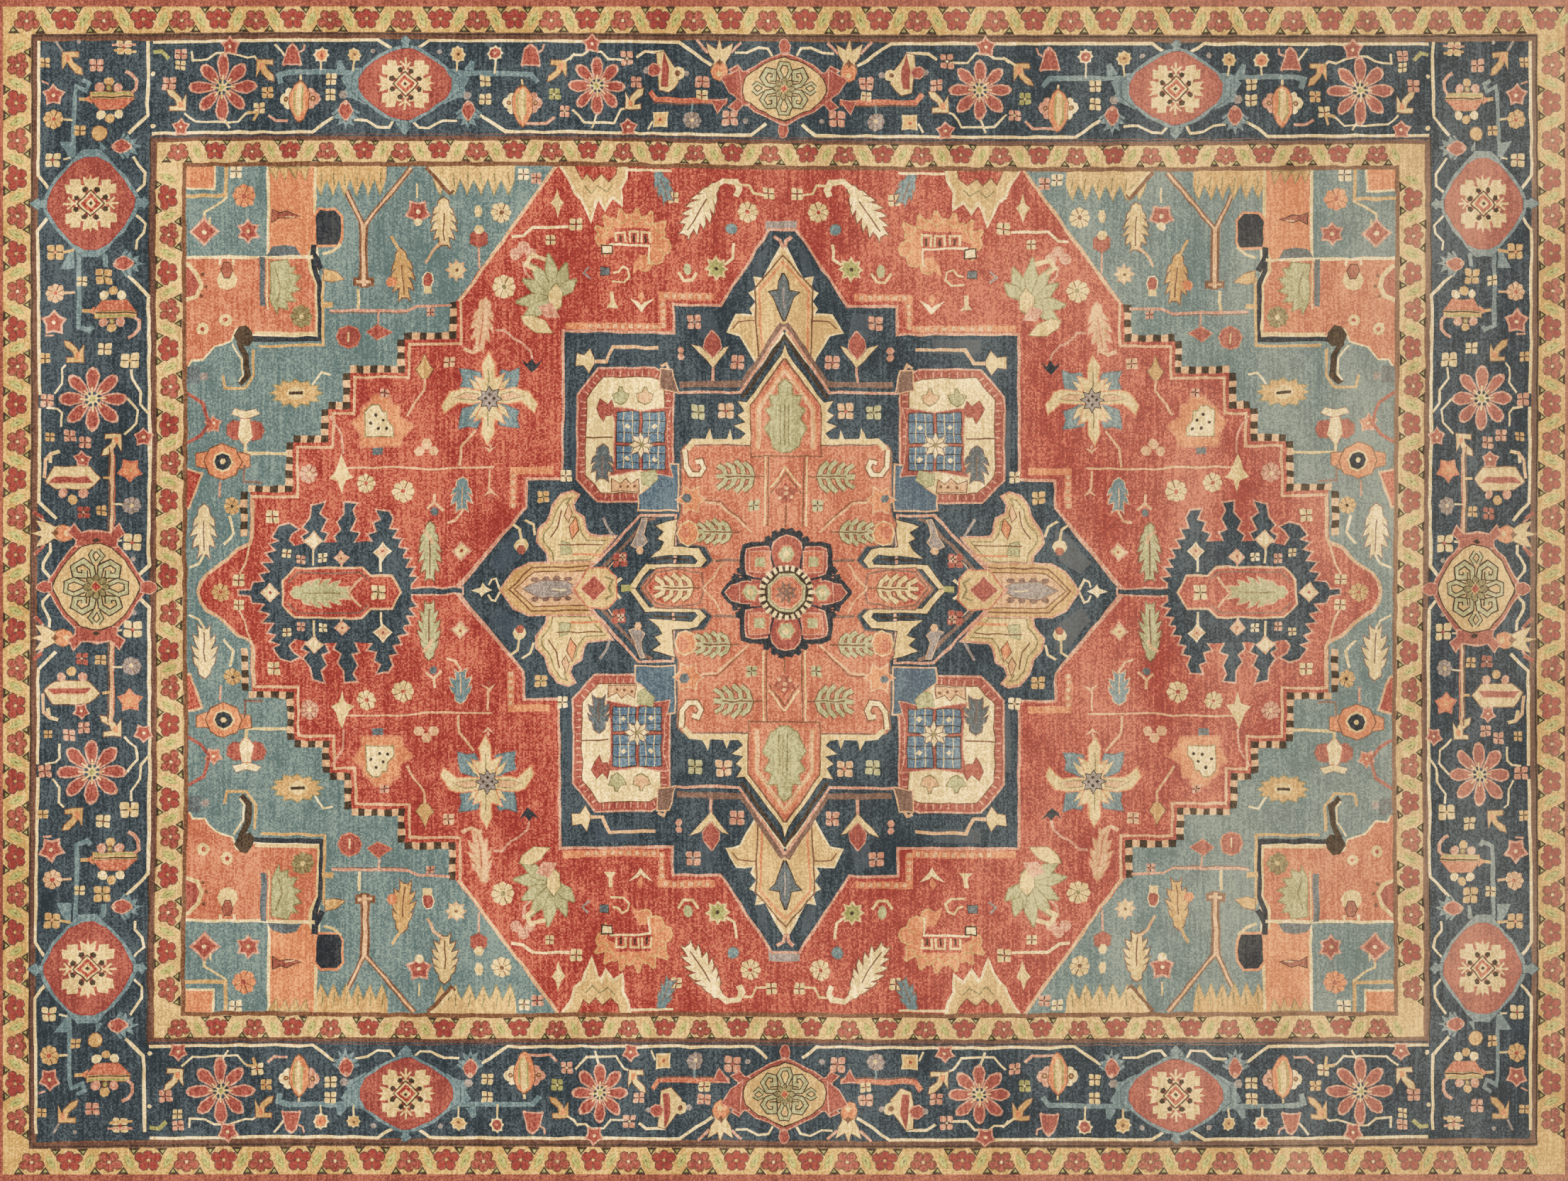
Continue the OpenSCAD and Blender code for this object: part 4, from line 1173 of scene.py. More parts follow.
def rosette_centre(pen):
    """The lobed rosette in the middle of the rug."""
    lobes = [(0, 30, 14, 1), (0, -30, 14, 1), (28, 0, 13, 0.8), (-28, 0, 13, 0.8)]
    corners = [(19 * x, 22 * y) for x, y in QUARTERS]
    for i in range(40):
        turn = math.tau * (i + 0.5) / 40
        reach = 44 - 5 * abs(math.sin(2 * turn)) ** 2
        pen.fill("night", ring(3, 5, reach * 0.87 * math.cos(turn), reach * math.sin(turn)))
    for grow, hue in ((1.4, "night"), (-2.2, "pink"), (-3.2, "rose")):
        for x, y, r, tall in lobes:
            pen.fill(hue, ring(r + grow, 12, x, y, tall=tall))
        for x, y in corners:
            r = 13 + grow
            pen.fill(hue, [(x + px, y + py) for px, py in four(f"{r * 0.5},{r} {r * 0.9},{r * 0.85} {r},{r * 0.4}")])
        pen.fill(hue, ring(30 + grow, 8, start=22))
    for side in (-1, 1):
        pen.fill("night", [(side * 38, 10), (side * 42, 7), (side * 46, 2), (side * 47, 0), (side * 46, -2),
                           (side * 42, -7), (side * 38, -10)])
        pen.fill("rose", [(side * 34, 6), (side * 39, 5), (side * 43, 0), (side * 39, -5), (side * 34, -6)], "pink", 0.8)
    for turn in range(0, 360, 90):
        pen.at(turn=turn).line("night", "9,16 13,38", 1.3)
        pen.at(turn=turn).line("night", "-9,16 -13,38", 1.3)
    for x, y, r, tall in lobes:
        pen.fill("leaf", ring(6, 6, x * 0.92, y * 0.92), "salmon", 1)
        pen.fill("straw", ring(3, 4, x * 0.92, y * 0.92))
    for x, y in corners:
        pen.fill("salmon", box_outline(x - 7, y - 7, x + 7, y + 7), "pink", 0.9)
        pen.fill("leaf", box_outline(x - 3.6, y - 3.6, x + 3.6, y + 3.6))
    pen.fill("cocoa", ring(20.5, 8, start=22))
    pen.fill("umber", ring(19.5, 8, start=22))
    for i in range(24):
        turn = math.tau * i / 24
        pen.at(17.6 * math.cos(turn), 17.6 * math.sin(turn), turn=math.degrees(turn)).fill(
            "cream", box_outline(-2.2, -1.3, 2.2, 1.3))
    pen.fill("leaf", ring(14.6, 8, start=22), "umber", 0.8)
    pen.fill("umber", ring(12.8, 8, start=22))
    pen.fill("salmon", ring(11.6, 8, start=22), "peach", 0.8)
    pen.fill("cocoa", star(8, 8.4, 5, start=22))
    pen.dots("salmon", 1.1, "0,4 3,1.5 3,-2.5 0,-4 -3,-2.5 -3,1.5", 4)


# ---- the pendants ----

TREE = points(
    "-226,1.7 -262,2 -262,6 -258,10 -264,11 -260,17 -266,17 -263,23 -269,24 -265,30 -272,31 -269,37 -275,38"
    " -272,44 -278,45 -275,52 -278,57 -286,58 -283,51 -288,49 -286,43 -292,41 -289,36 -295,34 -303,35 -299,42"
    " -305,44 -301,52 -304,58 -301,63 -309,64 -309,56 -314,50 -311,44 -316,40 -313,34 -325,34 -321,42 -326,44"
    " -322,52 -327,56 -324,64 -332,62 -333,53 -338,47 -334,43 -339,40 -336,35 -343,31 -349,38 -346,43 -342,46"
    " -348,49 -355,47 -360,40 -355,37 -362,35 -357,30 -364,28 -359,22 -367,21 -361,15 -369,13 -365,8 -374,7"
    " -376,2 -384,1.5"
)


def pendant_tree(pen):
    """The navy tree at the end of the medallion's stem, with a red shield on it."""
    pen.fill("navy", TREE + [(x, -y) for x, y in reversed(TREE)], "pink", 1.3)
    pen.fill("navy", "-364,0 -361,20 -350,32 -334,36 -276,36 -268,28 -262,0 -268,-28 -276,-36 -334,-36 -350,-32 -361,-20")
    for rise in (1, -1):
        half = pen.at(rise=rise)
        half.line("straw", "-331,20 -331,36", 1.6)
        half.line("cream", "-283,14 -283,26", 1.6)
        half.line("cream", "-311,17 -311,24", 1.4)
        star_flower(half, -331, 37, 5.5, "cream", "peach", "cream", 4)
        star_flower(half, -311, 25, 4.6, "peach", "pink", "rose", 4)
        star_flower(half, -282, 29, 5.2, "peach", "cream", "rose", 4)
        square_flower(half, -324, 25, 6, "cream", "leaf")
        square_flower(half, -340, 24, 6, "pink", "rose")
        square_flower(half, -350, 28, 6, "straw", "rose")
    pen.fill("madder", "-352,8 -344,17 -297,17 -291,11 -276,11 -270,0 -276,-11 -291,-11 -297,-17 -344,-17 -352,-8",
             "peach", 1.6)
    pen.line("cocoa", "-349,7 -342,14.5 -298,14.5 -292,9", 1)
    pen.line("cocoa", "-349,-7 -342,-14.5 -298,-14.5 -292,-9", 1)
    saw_leaf(pen.at(-305, 0, turn=90), 42, 20, 6, "leaf", "peach")
    pen.line("olive", "-312,0 -338,0", 1)
    pen.line("peach", "-297,11 -306,0 -297,-11", 1.8)
    square_flower(pen, -285, 0, 10, "straw", "olive")
    star_flower(pen, -362, 0, 5.5, "cream", "peach", "rose", 4)


def all_medallion():
    medallion_ground()
    for flip in (1, -1):
        arm(Pen().at(-4 * flip, 0, flip=flip))
        pendant_tree(Pen().at(-4.5 * flip, 0, flip=flip))
    for flip, rise in QUARTERS:
        panel_quarter(Pen().at(-2 * flip, 0, flip=flip, rise=rise))
        upper_flowers(Pen().at(flip=flip, rise=rise))
    heart(Pen())
    for rise in (1, -1):
        top_spear(Pen().at(rise=rise))
    rosette_centre(Pen().at(1, -3))


# ---- materials ----


def linear(text):
    """The linear colour of an sRGB hex."""
    made = []
    for i in (0, 2, 4):
        v = int(text[i:i + 2], 16) / 255
        made.append(v / 12.92 if v <= 0.04045 else ((v + 0.055) / 1.055) ** 2.4)
    return made + [1.0]


def add_node(tree, kind, inputs=None, **settings):
    """Adds one node. An input given as a socket is linked, and any other is its value."""
    node = tree.nodes.new(kind)
    for key, value in settings.items():
        setattr(node, key, value)
    for key, value in (inputs or {}).items():
        if isinstance(value, bpy.types.NodeSocket):
            tree.links.new(value, node.inputs[key])
        else:
            node.inputs[key].default_value = value
    return node


def mixed(tree, share, first, second, blend="MIX"):
    """The colour between first and second by share."""
    node = add_node(tree, "ShaderNodeMix", data_type="RGBA", blend_type=blend)
    for key, value in ((0, share), (6, first), (7, second)):
        if isinstance(value, bpy.types.NodeSocket):
            tree.links.new(value, node.inputs[key])
        else:
            node.inputs[key].default_value = value
    return node.outputs[2]


def spun(name, base, dark, light, knot=KNOT, ridge_shade_and_streak_share=0.5, roughness=0.95, sheen=0.12, relief=0.0006):
    """Yarn in close rows, whose streaks along the rows are partly painted shade of the pile's ridges and partly real
    dye differences from row to row. Each knot takes the dye a little differently, and each batch of yarn was dyed
    apart.
    """
    material = bpy.data.materials.new(name)
    material.use_nodes = True
    tree = material.node_tree
    tree.nodes.clear()
    where = add_node(tree, "ShaderNodeTexCoord").outputs["Object"]
    cell = add_node(tree, "ShaderNodeVectorMath", {0: where, 1: (knot, knot, 1.0)}, operation="SNAP").outputs[0]
    tuft = add_node(tree, "ShaderNodeTexWhiteNoise", {"Vector": cell}, noise_dimensions="3D").outputs["Value"]
    rows = add_node(tree, "ShaderNodeMapping", {"Vector": where, "Scale": (150.0, 9.0, 1.0)}).outputs[0]
    # Streaks along the weft: partly painted shade between the pile's ridges, partly real dye difference from row to
    # row.
    ridge_shade_and_streaks = add_node(
        tree, "ShaderNodeTexNoise", {"Vector": rows, "Scale": 1.0, "Detail": 2.0}, noise_dimensions="2D"
    ).outputs["Fac"]
    clouds = add_node(
        tree, "ShaderNodeTexNoise", {"Vector": where, "Scale": 16.0, "Detail": 4.0, "Roughness": 0.6}
    ).outputs["Fac"]
    total = add_node(tree, "ShaderNodeMath", {0: tuft, 1: 1.2, 2: -0.6}, operation="MULTIPLY_ADD").outputs[0]
    batches = add_node(tree, "ShaderNodeMapping", {"Vector": where, "Scale": (5.5, 2.2, 1.0)}).outputs[0]
    abrash = add_node(
        tree, "ShaderNodeTexNoise", {"Vector": batches, "Scale": 1.0, "Detail": 3.0}, noise_dimensions="2D"
    ).outputs["Fac"]
    total = add_node(tree, "ShaderNodeMath", {0: ridge_shade_and_streaks, 1: ridge_shade_and_streak_share * 3.0, 2: total}, operation="MULTIPLY_ADD")
    total = add_node(tree, "ShaderNodeMath", {0: clouds, 1: 1.4, 2: total.outputs[0]}, operation="MULTIPLY_ADD")
    total = add_node(tree, "ShaderNodeMath", {0: abrash, 1: 1.5, 2: total.outputs[0]}, operation="MULTIPLY_ADD")
    middle = 1.5 * ridge_shade_and_streak_share + 0.7 + 0.75
    share = add_node(
        tree, "ShaderNodeMapRange", {0: total.outputs[0], 1: middle - 0.6, 2: middle + 0.6}
    ).outputs[0]
    ramp = add_node(tree, "ShaderNodeValToRGB", {"Fac": share})
    ramp.color_ramp.elements[0].color = linear(dark)
    ramp.color_ramp.elements[1].color = linear(light)
    ramp.color_ramp.elements.new(0.5).color = linear(base)
    apart = add_node(tree, "ShaderNodeSeparateXYZ", {0: where}).outputs[0]
    bleach = 0.44 if max(linear(base)[:3]) > 0.1 else 0.12
    sunny = add_node(tree, "ShaderNodeMapRange", {0: apart, 1: -0.4, 2: 1.7, 3: 0.0, 4: bleach}).outputs[0]
    fade = add_node(tree, "ShaderNodeMath", {0: sunny, 1: abrash}, operation="MULTIPLY").outputs[0]
    colour = mixed(tree, fade, ramp.outputs[0], linear("D9C3A3"))
    bump = add_node(tree, "ShaderNodeBump", {"Height": tuft, "Distance": relief, "Strength": 0.35}).outputs[0]
    shader = add_node(tree, "ShaderNodeBsdfPrincipled", {
        "Base Color": colour, "Normal": bump, "Roughness": roughness, "Sheen Weight": sheen,
        "Sheen Roughness": 0.6, "Specular IOR Level": 0.15,
    })
    add_node(tree, "ShaderNodeOutputMaterial", {"Surface": shader.outputs[0]})
    return material


# Hand-spun wool, dyed in small batches and knotted as pile. Its cut ends drink the light, so it stays matt.
# dye: (base, dark, light)
DYES = {
    "madder": ("BC5140", "993127", "DD8768"),
    "madder_deep": ("AF4B3C", "983A30", "BE5F4C"),
    "brick": ("AE6049", "8E4837", "C87C60"),
    "rose": ("B45C4A", "944135", "CC7A62"),
    "pink": ("D9A083", "C18266", "ECC4A8"),
    "salmon": ("D27F5C", "BA5F46", "E6A684"),
    "salmon_deep": ("D5845F", "BC6144", "E6A580"),
    "peach": ("E0B58C", "CC9C71", "EFCEAA"),
    "apricot": ("E0966A", "CC7A50", "EFB488"),
    "navy": ("434D52", "2A3338", "626C6E"),
    "night": ("393B3F", "26282B", "53524F"),
    "blue": ("7B8C87", "60746F", "9BA89B"),
    "grey_blue": ("7F918E", "667A7A", "A0AEA8"),
    "slate_blue": ("5C707A", "475866", "7D8E93"),
    "panel_blue": ("6A8190", "526A7C", "93A3A6"),
    "slate_navy": ("4A555B", "3C464E", "586469"),
    "slate": ("6B6F6C", "545A58", "888E8D"),
    "lilac": ("A8988C", "8E7D6E", "C4B3A4"),
    "guard_gold": ("DBB478", "C69A5C", "ECCC98"),
    "gold": ("D7AC74", "C2945C", "E9C692"),
    "straw_gold": ("DCB985", "C7A16C", "EED1A0"),
    "straw": ("E3C897", "CEB07C", "F2DCB4"),
    "cream": ("EAD4AA", "D6BC8C", "F8E8CA"),
    "green": ("B2A868", "9A9050", "CAC286"),
    "guard_leaf": ("C8BE7A", "B4AA62", "DBD093"),
    "olive": ("A08F5E", "827044", "BCAA7C"),
    "leaf": ("C2B88A", "A89E6F", "D6CDA4"),
    "brown": ("895938", "704228", "A17153"),
    "umber": ("503D2B", "382A1C", "6A543E"),
    "maroon": ("784F3F", "603C30", "936852"),
    "cocoa": ("8E6A56", "745241", "A8826E"),
}
WOOLS = {dye: spun(f"wool_pile_{dye}", *hues) for dye, hues in DYES.items()}

# Undyed cotton, spun hard and smooth, so it is paler and a little shinier than the wool.
WOOLS["cotton"] = spun("cotton_foundation_weave", "DDCBB2", "CAB69B", "EADAC4", roughness=0.85, sheen=0.05)
WOOLS["kilim"] = spun("cotton_kilim_weft", "E0CEB2", "CFBA9A", "EDDDC6", knot=KNOT / 2, roughness=0.85, sheen=0.05)
WOOLS["warp"] = spun("cotton_warp_cord", "E6D6BE", "D4C2A4", "F2E6D4", knot=KNOT / 3, roughness=0.8, sheen=0.05)


# ---- the zones of the design and their plain grounds ----

FIELD_X, FIELD_Y = strip_knots("field_ground")[2:]
SIDES = {"left": (-1, 0), "right": (1, 0), "front": (0, -1), "back": (0, 1)}

# Border stripes from the outside in: (part of the node's name, ground dye)
STRIPES = [
    ("red_band", "brick"), ("outer_guard", "guard_gold"), ("outer_stripe", "maroon"), ("main_border", "navy"),
    ("inner_stripe", "maroon"), ("inner_guard", "straw_gold"), ("field_line", "brown"),
]

CORNER = points(
    "425.6,0 425.6,297.9 166.6,297.9 237.6,200.9 237.6,176.9 272.6,176.9 272.6,153.9 310.6,153.9 310.6,128.9"
    " 325.6,128.9 325.6,105.9 350.6,105.9 350.6,71 380.6,71"
) + ring(37, 12, 380.6, 0, start=90, sweep=-90)
MEDALLION = four("9,254.9 45,201 79,201 79,181 161,181 161,77 186,77 186,58 233,0")
HEART = four("0,101 74,101 74,25 104,25 141,0")
PANEL = points("91,57 132,57 146,71 146,143 132,157 91,157 77,143 77,71")
PENDANT = points(
    "266,0 281,31 286,63 301,63 306,31 312,31 317,63 332,63 337,31 343,31 348,63 363,63 368,31 382.6,0"
)
PENDANT += [(x, -y) for x, y in reversed(PENDANT[1:-1])]
ROSETTE = [point for i in range(8) for point in
           ring(16, 6, 28 * math.cos(math.tau * i / 8), 28 * math.sin(math.tau * i / 8), 45 * i - 75, 150)]

ZONES = []


def add_zone(name, outline):
    ZONES.append((name, outline))


def box_outline(x0, y0, x1, y1):
    return [(x0, y0), (x1, y0), (x1, y1), (x0, y1)]


def lay_zones():
    """Divides the chart into the frame's zones, outer ones first, later ones on top."""
    add_zone("field_ground", box_outline(-FIELD_X, -FIELD_Y, FIELD_X, FIELD_Y))
    for stripe, dye in STRIPES:
        for side in SIDES:
            add_zone(f"{stripe}_{side}", box_outline(*strip_knots(f"{stripe}_{side}")))
    for flip, rise in QUARTERS:
        name = ("back" if rise > 0 else "front") + ("_right" if flip > 0 else "_left")
        add_zone("corner_" + name, Pen().at(flip=flip, rise=rise).put(CORNER))
    add_zone("medallion_ground", MEDALLION)
    for flip, rise in QUARTERS:
        name = ("back" if rise > 0 else "front") + ("_right" if flip > 0 else "_left")
        add_zone("panel_" + name, Pen().at(flip=flip, rise=rise).put(PANEL))
    add_zone("medallion_heart", HEART)
    add_zone("centre_rosette", ROSETTE)
    add_zone("pendant_left", Pen().at(flip=-1).put(PENDANT))
    add_zone("pendant_right", PENDANT)



def lay_stripes():
    """The plain ground of every border stripe, over the ends of what lies in the field."""
    for stripe, dye in STRIPES:
        for side in SIDES:
            Pen().fill(dye, box_outline(*strip_knots(f"{stripe}_{side}")))


def lay_design():
    """Everything woven into the rug, from the field's ground up."""
    Pen().fill("madder", box_outline(-FIELD_X, -FIELD_Y, FIELD_X, FIELD_Y))
    for flip, rise in QUARTERS:
        quarter = Pen().at(-4.5 * flip, 0, flip=flip, rise=rise)
        corner_quarter(quarter)
        field_quarter(quarter)
        field_top(Pen().at(flip=flip, rise=rise))
    field_middle()
    all_medallion()
    lay_stripes()
    straight_lines()
    all_guards()
    for flip, rise in QUARTERS:
        end_border(Pen().at(-2 * flip, 3 - 3 * rise, flip=flip, rise=rise))
        side_border(Pen().at(-4.5 * flip, 0, flip=flip, rise=rise))
    middle_medallions()


# ---- from the chart to one mosaic ----


def steady(value):
    """Eases a share of 0 to 1 in and out."""
    value = max(0.0, min(1.0, value))
    return value * value * (3 - 2 * value)


def wandered(x, y):
    """Where a point of the chart ends up on the rug: the weaver drifts by a few knots, but not at the edges."""
    hold = steady(min(HALF_LENGTH - abs(x), HALF_WIDTH - abs(y)) / 45)
    slow = noise.noise_vector(Vector((x / 230, y / 230, 3.7)))
    quick = noise.noise_vector(Vector((x / 8, y / 8, 9.1)))
    beat = 4.5 * steady((HALF_LENGTH - 30 - abs(x)) / 97) * steady((abs(x) - 50) / 130)
    return (x + beat + hold * (3.2 * slow.x + 1.1 * quick.x), y + hold * (3.2 * slow.y + 1.1 * quick.y))


def cut_long(outline, longest):
    """Adds points along the long sides, so that they can waver."""
    made = []
    for (x0, y0), (x1, y1) in zip(outline, outline[1:] + outline[:1]):
        parts = max(1, math.ceil(math.hypot(x1 - x0, y1 - y0) / longest))
        made += [(x0 + (x1 - x0) * i / parts, y0 + (y1 - y0) * i / parts) for i in range(parts)]
    return made


def on_rug(outline):
    return [(max(-HALF_LENGTH, min(HALF_LENGTH, x)), max(-HALF_WIDTH, min(HALF_WIDTH, y))) for x, y in outline]


def inside(outline, point):
    """Whether an outline winds round a point."""
    turns = 0
    x, y = point
    for (x0, y0), (x1, y1) in zip(outline, outline[1:] + outline[:1]):
        if (y0 <= y) != (y1 <= y):
            left = (x1 - x0) * (y - y0) - (x - x0) * (y1 - y0)
            if (left > 0) == (y1 > y0):
                turns += 1 if y1 > y0 else -1
    return turns != 0


def spilt(shapes, flat, triangles, from_faces):
    """The outlines that cross themselves, known by covering more of the mosaic than they enclose."""
    covered = [0.0] * len(shapes)
    for triangle, parents in zip(triangles, from_faces):
        size = area([tuple(flat[i]) for i in triangle])
        for i in parents:
            if i < len(shapes):
                covered[i] += size
    return {i for i, (dye, outline) in enumerate(shapes) if covered[i] > 1.02 * abs(area(outline)) + 0.5}


def mosaic(shapes, zones, longest, grid):
    """One flat triangle mesh of the whole rug: (points, triangles, dye of each, zone of each)."""
    verts = []
    faces = []
    for name, outline in shapes + zones:
        outline = cut_long(on_rug(outline if area(outline) > 0 else outline[::-1]), longest)
        faces.append(list(range(len(verts), len(verts) + len(outline))))
        verts += [Vector(p) for p in outline]
    columns = round(2 * HALF_LENGTH / grid)
    rows = round(2 * HALF_WIDTH / grid)
    for i in range(1, columns):
        for j in range(1, rows):
            shift = 0.25 * (j % 2)
            verts.append(Vector((
                -HALF_LENGTH + (i + shift) * 2 * HALF_LENGTH / columns,
                -HALF_WIDTH + j * 2 * HALF_WIDTH / rows,
            )))
    flat, edges, triangles, from_verts, from_edges, from_faces = delaunay_2d_cdt(verts, [], faces, 1, 1e-5, True)
    crossed = spilt(shapes, flat, triangles, from_faces)
    dyes = []
    places = []
    kept = []
    for triangle, parents in zip(triangles, from_faces):
        middle = sum((flat[i] for i in triangle), Vector((0, 0))) / 3
        tops = [i for i in parents if i < len(shapes) and (i not in crossed or inside(shapes[i][1], middle))]
        woven = [i for i in parents if i >= len(shapes)]
        if not tops:
            continue
        kept.append(triangle)
        dyes.append(shapes[max(tops)][0])
        places.append(zones[max(woven) - len(shapes)][0] if woven else "")
    return [wandered(p.x, p.y) for p in flat], kept, dyes, places


def height_of(x, y):
    """The top of the pile: worn a little unevenly, and never above the pile's full height."""
    worn = 0.5 + 0.5 * noise.noise(Vector((x / 60, y / 60, 1.3)))
    tufts = 0.5 + 0.5 * noise.noise(Vector((x / 4, y / 4, 5.2)))
    return PILE_HIGH - 0.00035 * worn - 0.00025 * tufts


def slab(name, flat, triangles, dyes, top, bottom, over=None, rim=None):
    """A closed slab whose top and bottom carry the same triangles. Heights may be numbers or functions.
    over and rim are the dyes of the whole top and of the sides, where those aren't the design's own."""
    used = sorted({i for triangle in triangles for i in triangle})
    place = {old: new for new, old in enumerate(used)}
    count = len(used)
    height = top if callable(top) else lambda x, y: top
    depth = bottom if callable(bottom) else lambda x, y: bottom
    verts = [(flat[i][0] * KNOT, flat[i][1] * KNOT, height(*flat[i])) for i in used]
    verts += [(flat[i][0] * KNOT, flat[i][1] * KNOT, depth(*flat[i])) for i in used]
    faces = []
    made_of = []
    rims = {}
    for triangle, dye in zip(triangles, dyes):
        a, b, c = (place[i] for i in triangle)
        faces.append((a, b, c))
        made_of.append(over or dye)
        for edge in ((a, b), (b, c), (c, a)):
            if (edge[1], edge[0]) in rims:
                del rims[(edge[1], edge[0])]
            else:
                rims[edge] = dye
    for triangle, dye in zip(triangles, dyes):
        a, b, c = (place[i] + count for i in triangle)
        faces.append((c, b, a))
        made_of.append(dye)
    for (a, b), dye in rims.items():
        faces.append((a, a + count, b + count, b))
        made_of.append(rim or dye)
    mesh = bpy.data.meshes.new(name)
    mesh.from_pydata(verts, [], faces)
    order = sorted(set(made_of))
    slots = {dye: i for i, dye in enumerate(order)}
    for dye in order:
        mesh.materials.append(WOOLS[dye])
    mesh.polygons.foreach_set("material_index", [slots[dye] for dye in made_of])
    mesh.validate()
    mesh.update()
    piece = bpy.data.objects.new(name, mesh)
    bpy.context.scene.collection.objects.link(piece)
    return piece


# ---- the pile ----

lay_zones()
lay_design()
flat, triangles, dyes, places = mosaic(SHAPES, ZONES, LONGEST_EDGE, 12)

pile = []
for zone, outline in ZONES:
    mine = [i for i, place in enumerate(places) if place == zone]
    piece = slab(f"pile_{zone}", flat, [triangles[i] for i in mine], [dyes[i] for i in mine], height_of, PILE_LOW)
    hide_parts(zone)
    pile.append(piece)

# ---- the foundation, whose back shows every larger part of the design again ----

BACK_SHAPES = [(dye, outline) for dye, outline in SHAPES if abs(area(outline)) > 90]
back_flat, back_triangles, back_dyes, back_places = mosaic(BACK_SHAPES, ZONES, 30, 30)
foundation = slab(
    "foundation_cloth", back_flat, back_triangles, back_dyes, FOUNDATION_HIGH.z,
    lambda x, y: 0.00012 + 0.0001 * noise.noise(Vector((x / 3, y / 3, 8.8))), over="cotton", rim="cotton",
)
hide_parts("foundation")


# ---- the edges: wound yarn, woven ends and fringe, all made by Geometry Nodes ----


def new_tree(name, sizes, counts=()):
    """An empty tree with a material input and named inputs for its sizes and counts."""
    tree = bpy.data.node_groups.new(name, "GeometryNodeTree")
    for key in sizes:
        tree.interface.new_socket(key, in_out="INPUT", socket_type="NodeSocketFloat")
    for key in counts:
        tree.interface.new_socket(key, in_out="INPUT", socket_type="NodeSocketInt")
    tree.interface.new_socket("Material", in_out="INPUT", socket_type="NodeSocketMaterial")
    tree.interface.new_socket("Geometry", in_out="OUTPUT", socket_type="NodeSocketGeometry")
    return tree, add_node(tree, "NodeGroupInput").outputs


def end_tree(tree, geometry, material):
    """Ends the tree: instances become real, and everything gets the one material."""
    real = add_node(tree, "GeometryNodeRealizeInstances", {"Geometry": geometry}).outputs[0]
    done = add_node(tree, "GeometryNodeSetMaterial", {"Geometry": real, "Material": material}).outputs[0]
    add_node(tree, "NodeGroupOutput", {"Geometry": done})


def vector(tree, x=0.0, y=0.0, z=0.0):
    return add_node(tree, "ShaderNodeCombineXYZ", {0: x, 1: y, 2: z}).outputs[0]


def moved(tree, geometry, translation=(0, 0, 0), rotation=(0, 0, 0), scale=(1, 1, 1)):
    return add_node(tree, "GeometryNodeTransform", {
        "Geometry": geometry, "Translation": translation, "Rotation": rotation, "Scale": scale,
    }).outputs[0]


def joined(tree, parts):
    node = add_node(tree, "GeometryNodeJoinGeometry")
    for part in parts:
        tree.links.new(part, node.inputs[0])
    return node.outputs[0]


def wound(tree, length, turns, reach, yarn, strands, steps, sides):
    """Strands of yarn wound round one line, which runs along +X from the origin."""
    spiral = add_node(tree, "GeometryNodeCurveSpiral", {
        "Resolution": steps, "Rotations": turns, "Start Radius": reach, "End Radius": reach, "Height": length,
    }).outputs[0]
    section = add_node(tree, "GeometryNodeCurvePrimitiveCircle", {"Resolution": sides, "Radius": yarn}).outputs[0]
    strand = add_node(tree, "GeometryNodeCurveToMesh", {
        "Curve": spiral, "Profile Curve": section, "Fill Caps": True,
    }).outputs[0]
    around = [moved(tree, strand, rotation=(0, 0, math.tau * i / strands)) for i in range(strands)]
    return moved(tree, joined(tree, around), rotation=(0, math.pi / 2, 0))


def winding_tree():
    """One yarn wound closely round a cord, as wide and as high as it is told."""
    tree, given = new_tree("close_winding", ("Length", "Turns", "Reach", "Yarn", "Height Share"))
    yarn = wound(tree, given["Length"], given["Turns"], given["Reach"], given["Yarn"], 1, 7, 4)
    shaped = moved(tree, yarn, scale=vector(tree, 1.0, 1.0, given["Height Share"]))
    end_tree(tree, shaped, given["Material"])
    return tree


def twining_tree():
    """Two strands twined into a thin cord."""
    tree, given = new_tree("two_strand_twining", ("Length", "Turns", "Reach", "Yarn", "Height Share"))
    cord = wound(tree, given["Length"], given["Turns"], given["Reach"], given["Yarn"], 2, 9, 6)
    shaped = moved(tree, cord, scale=vector(tree, 1.0, 1.0, given["Height Share"]))
    end_tree(tree, shaped, given["Material"])
    return tree


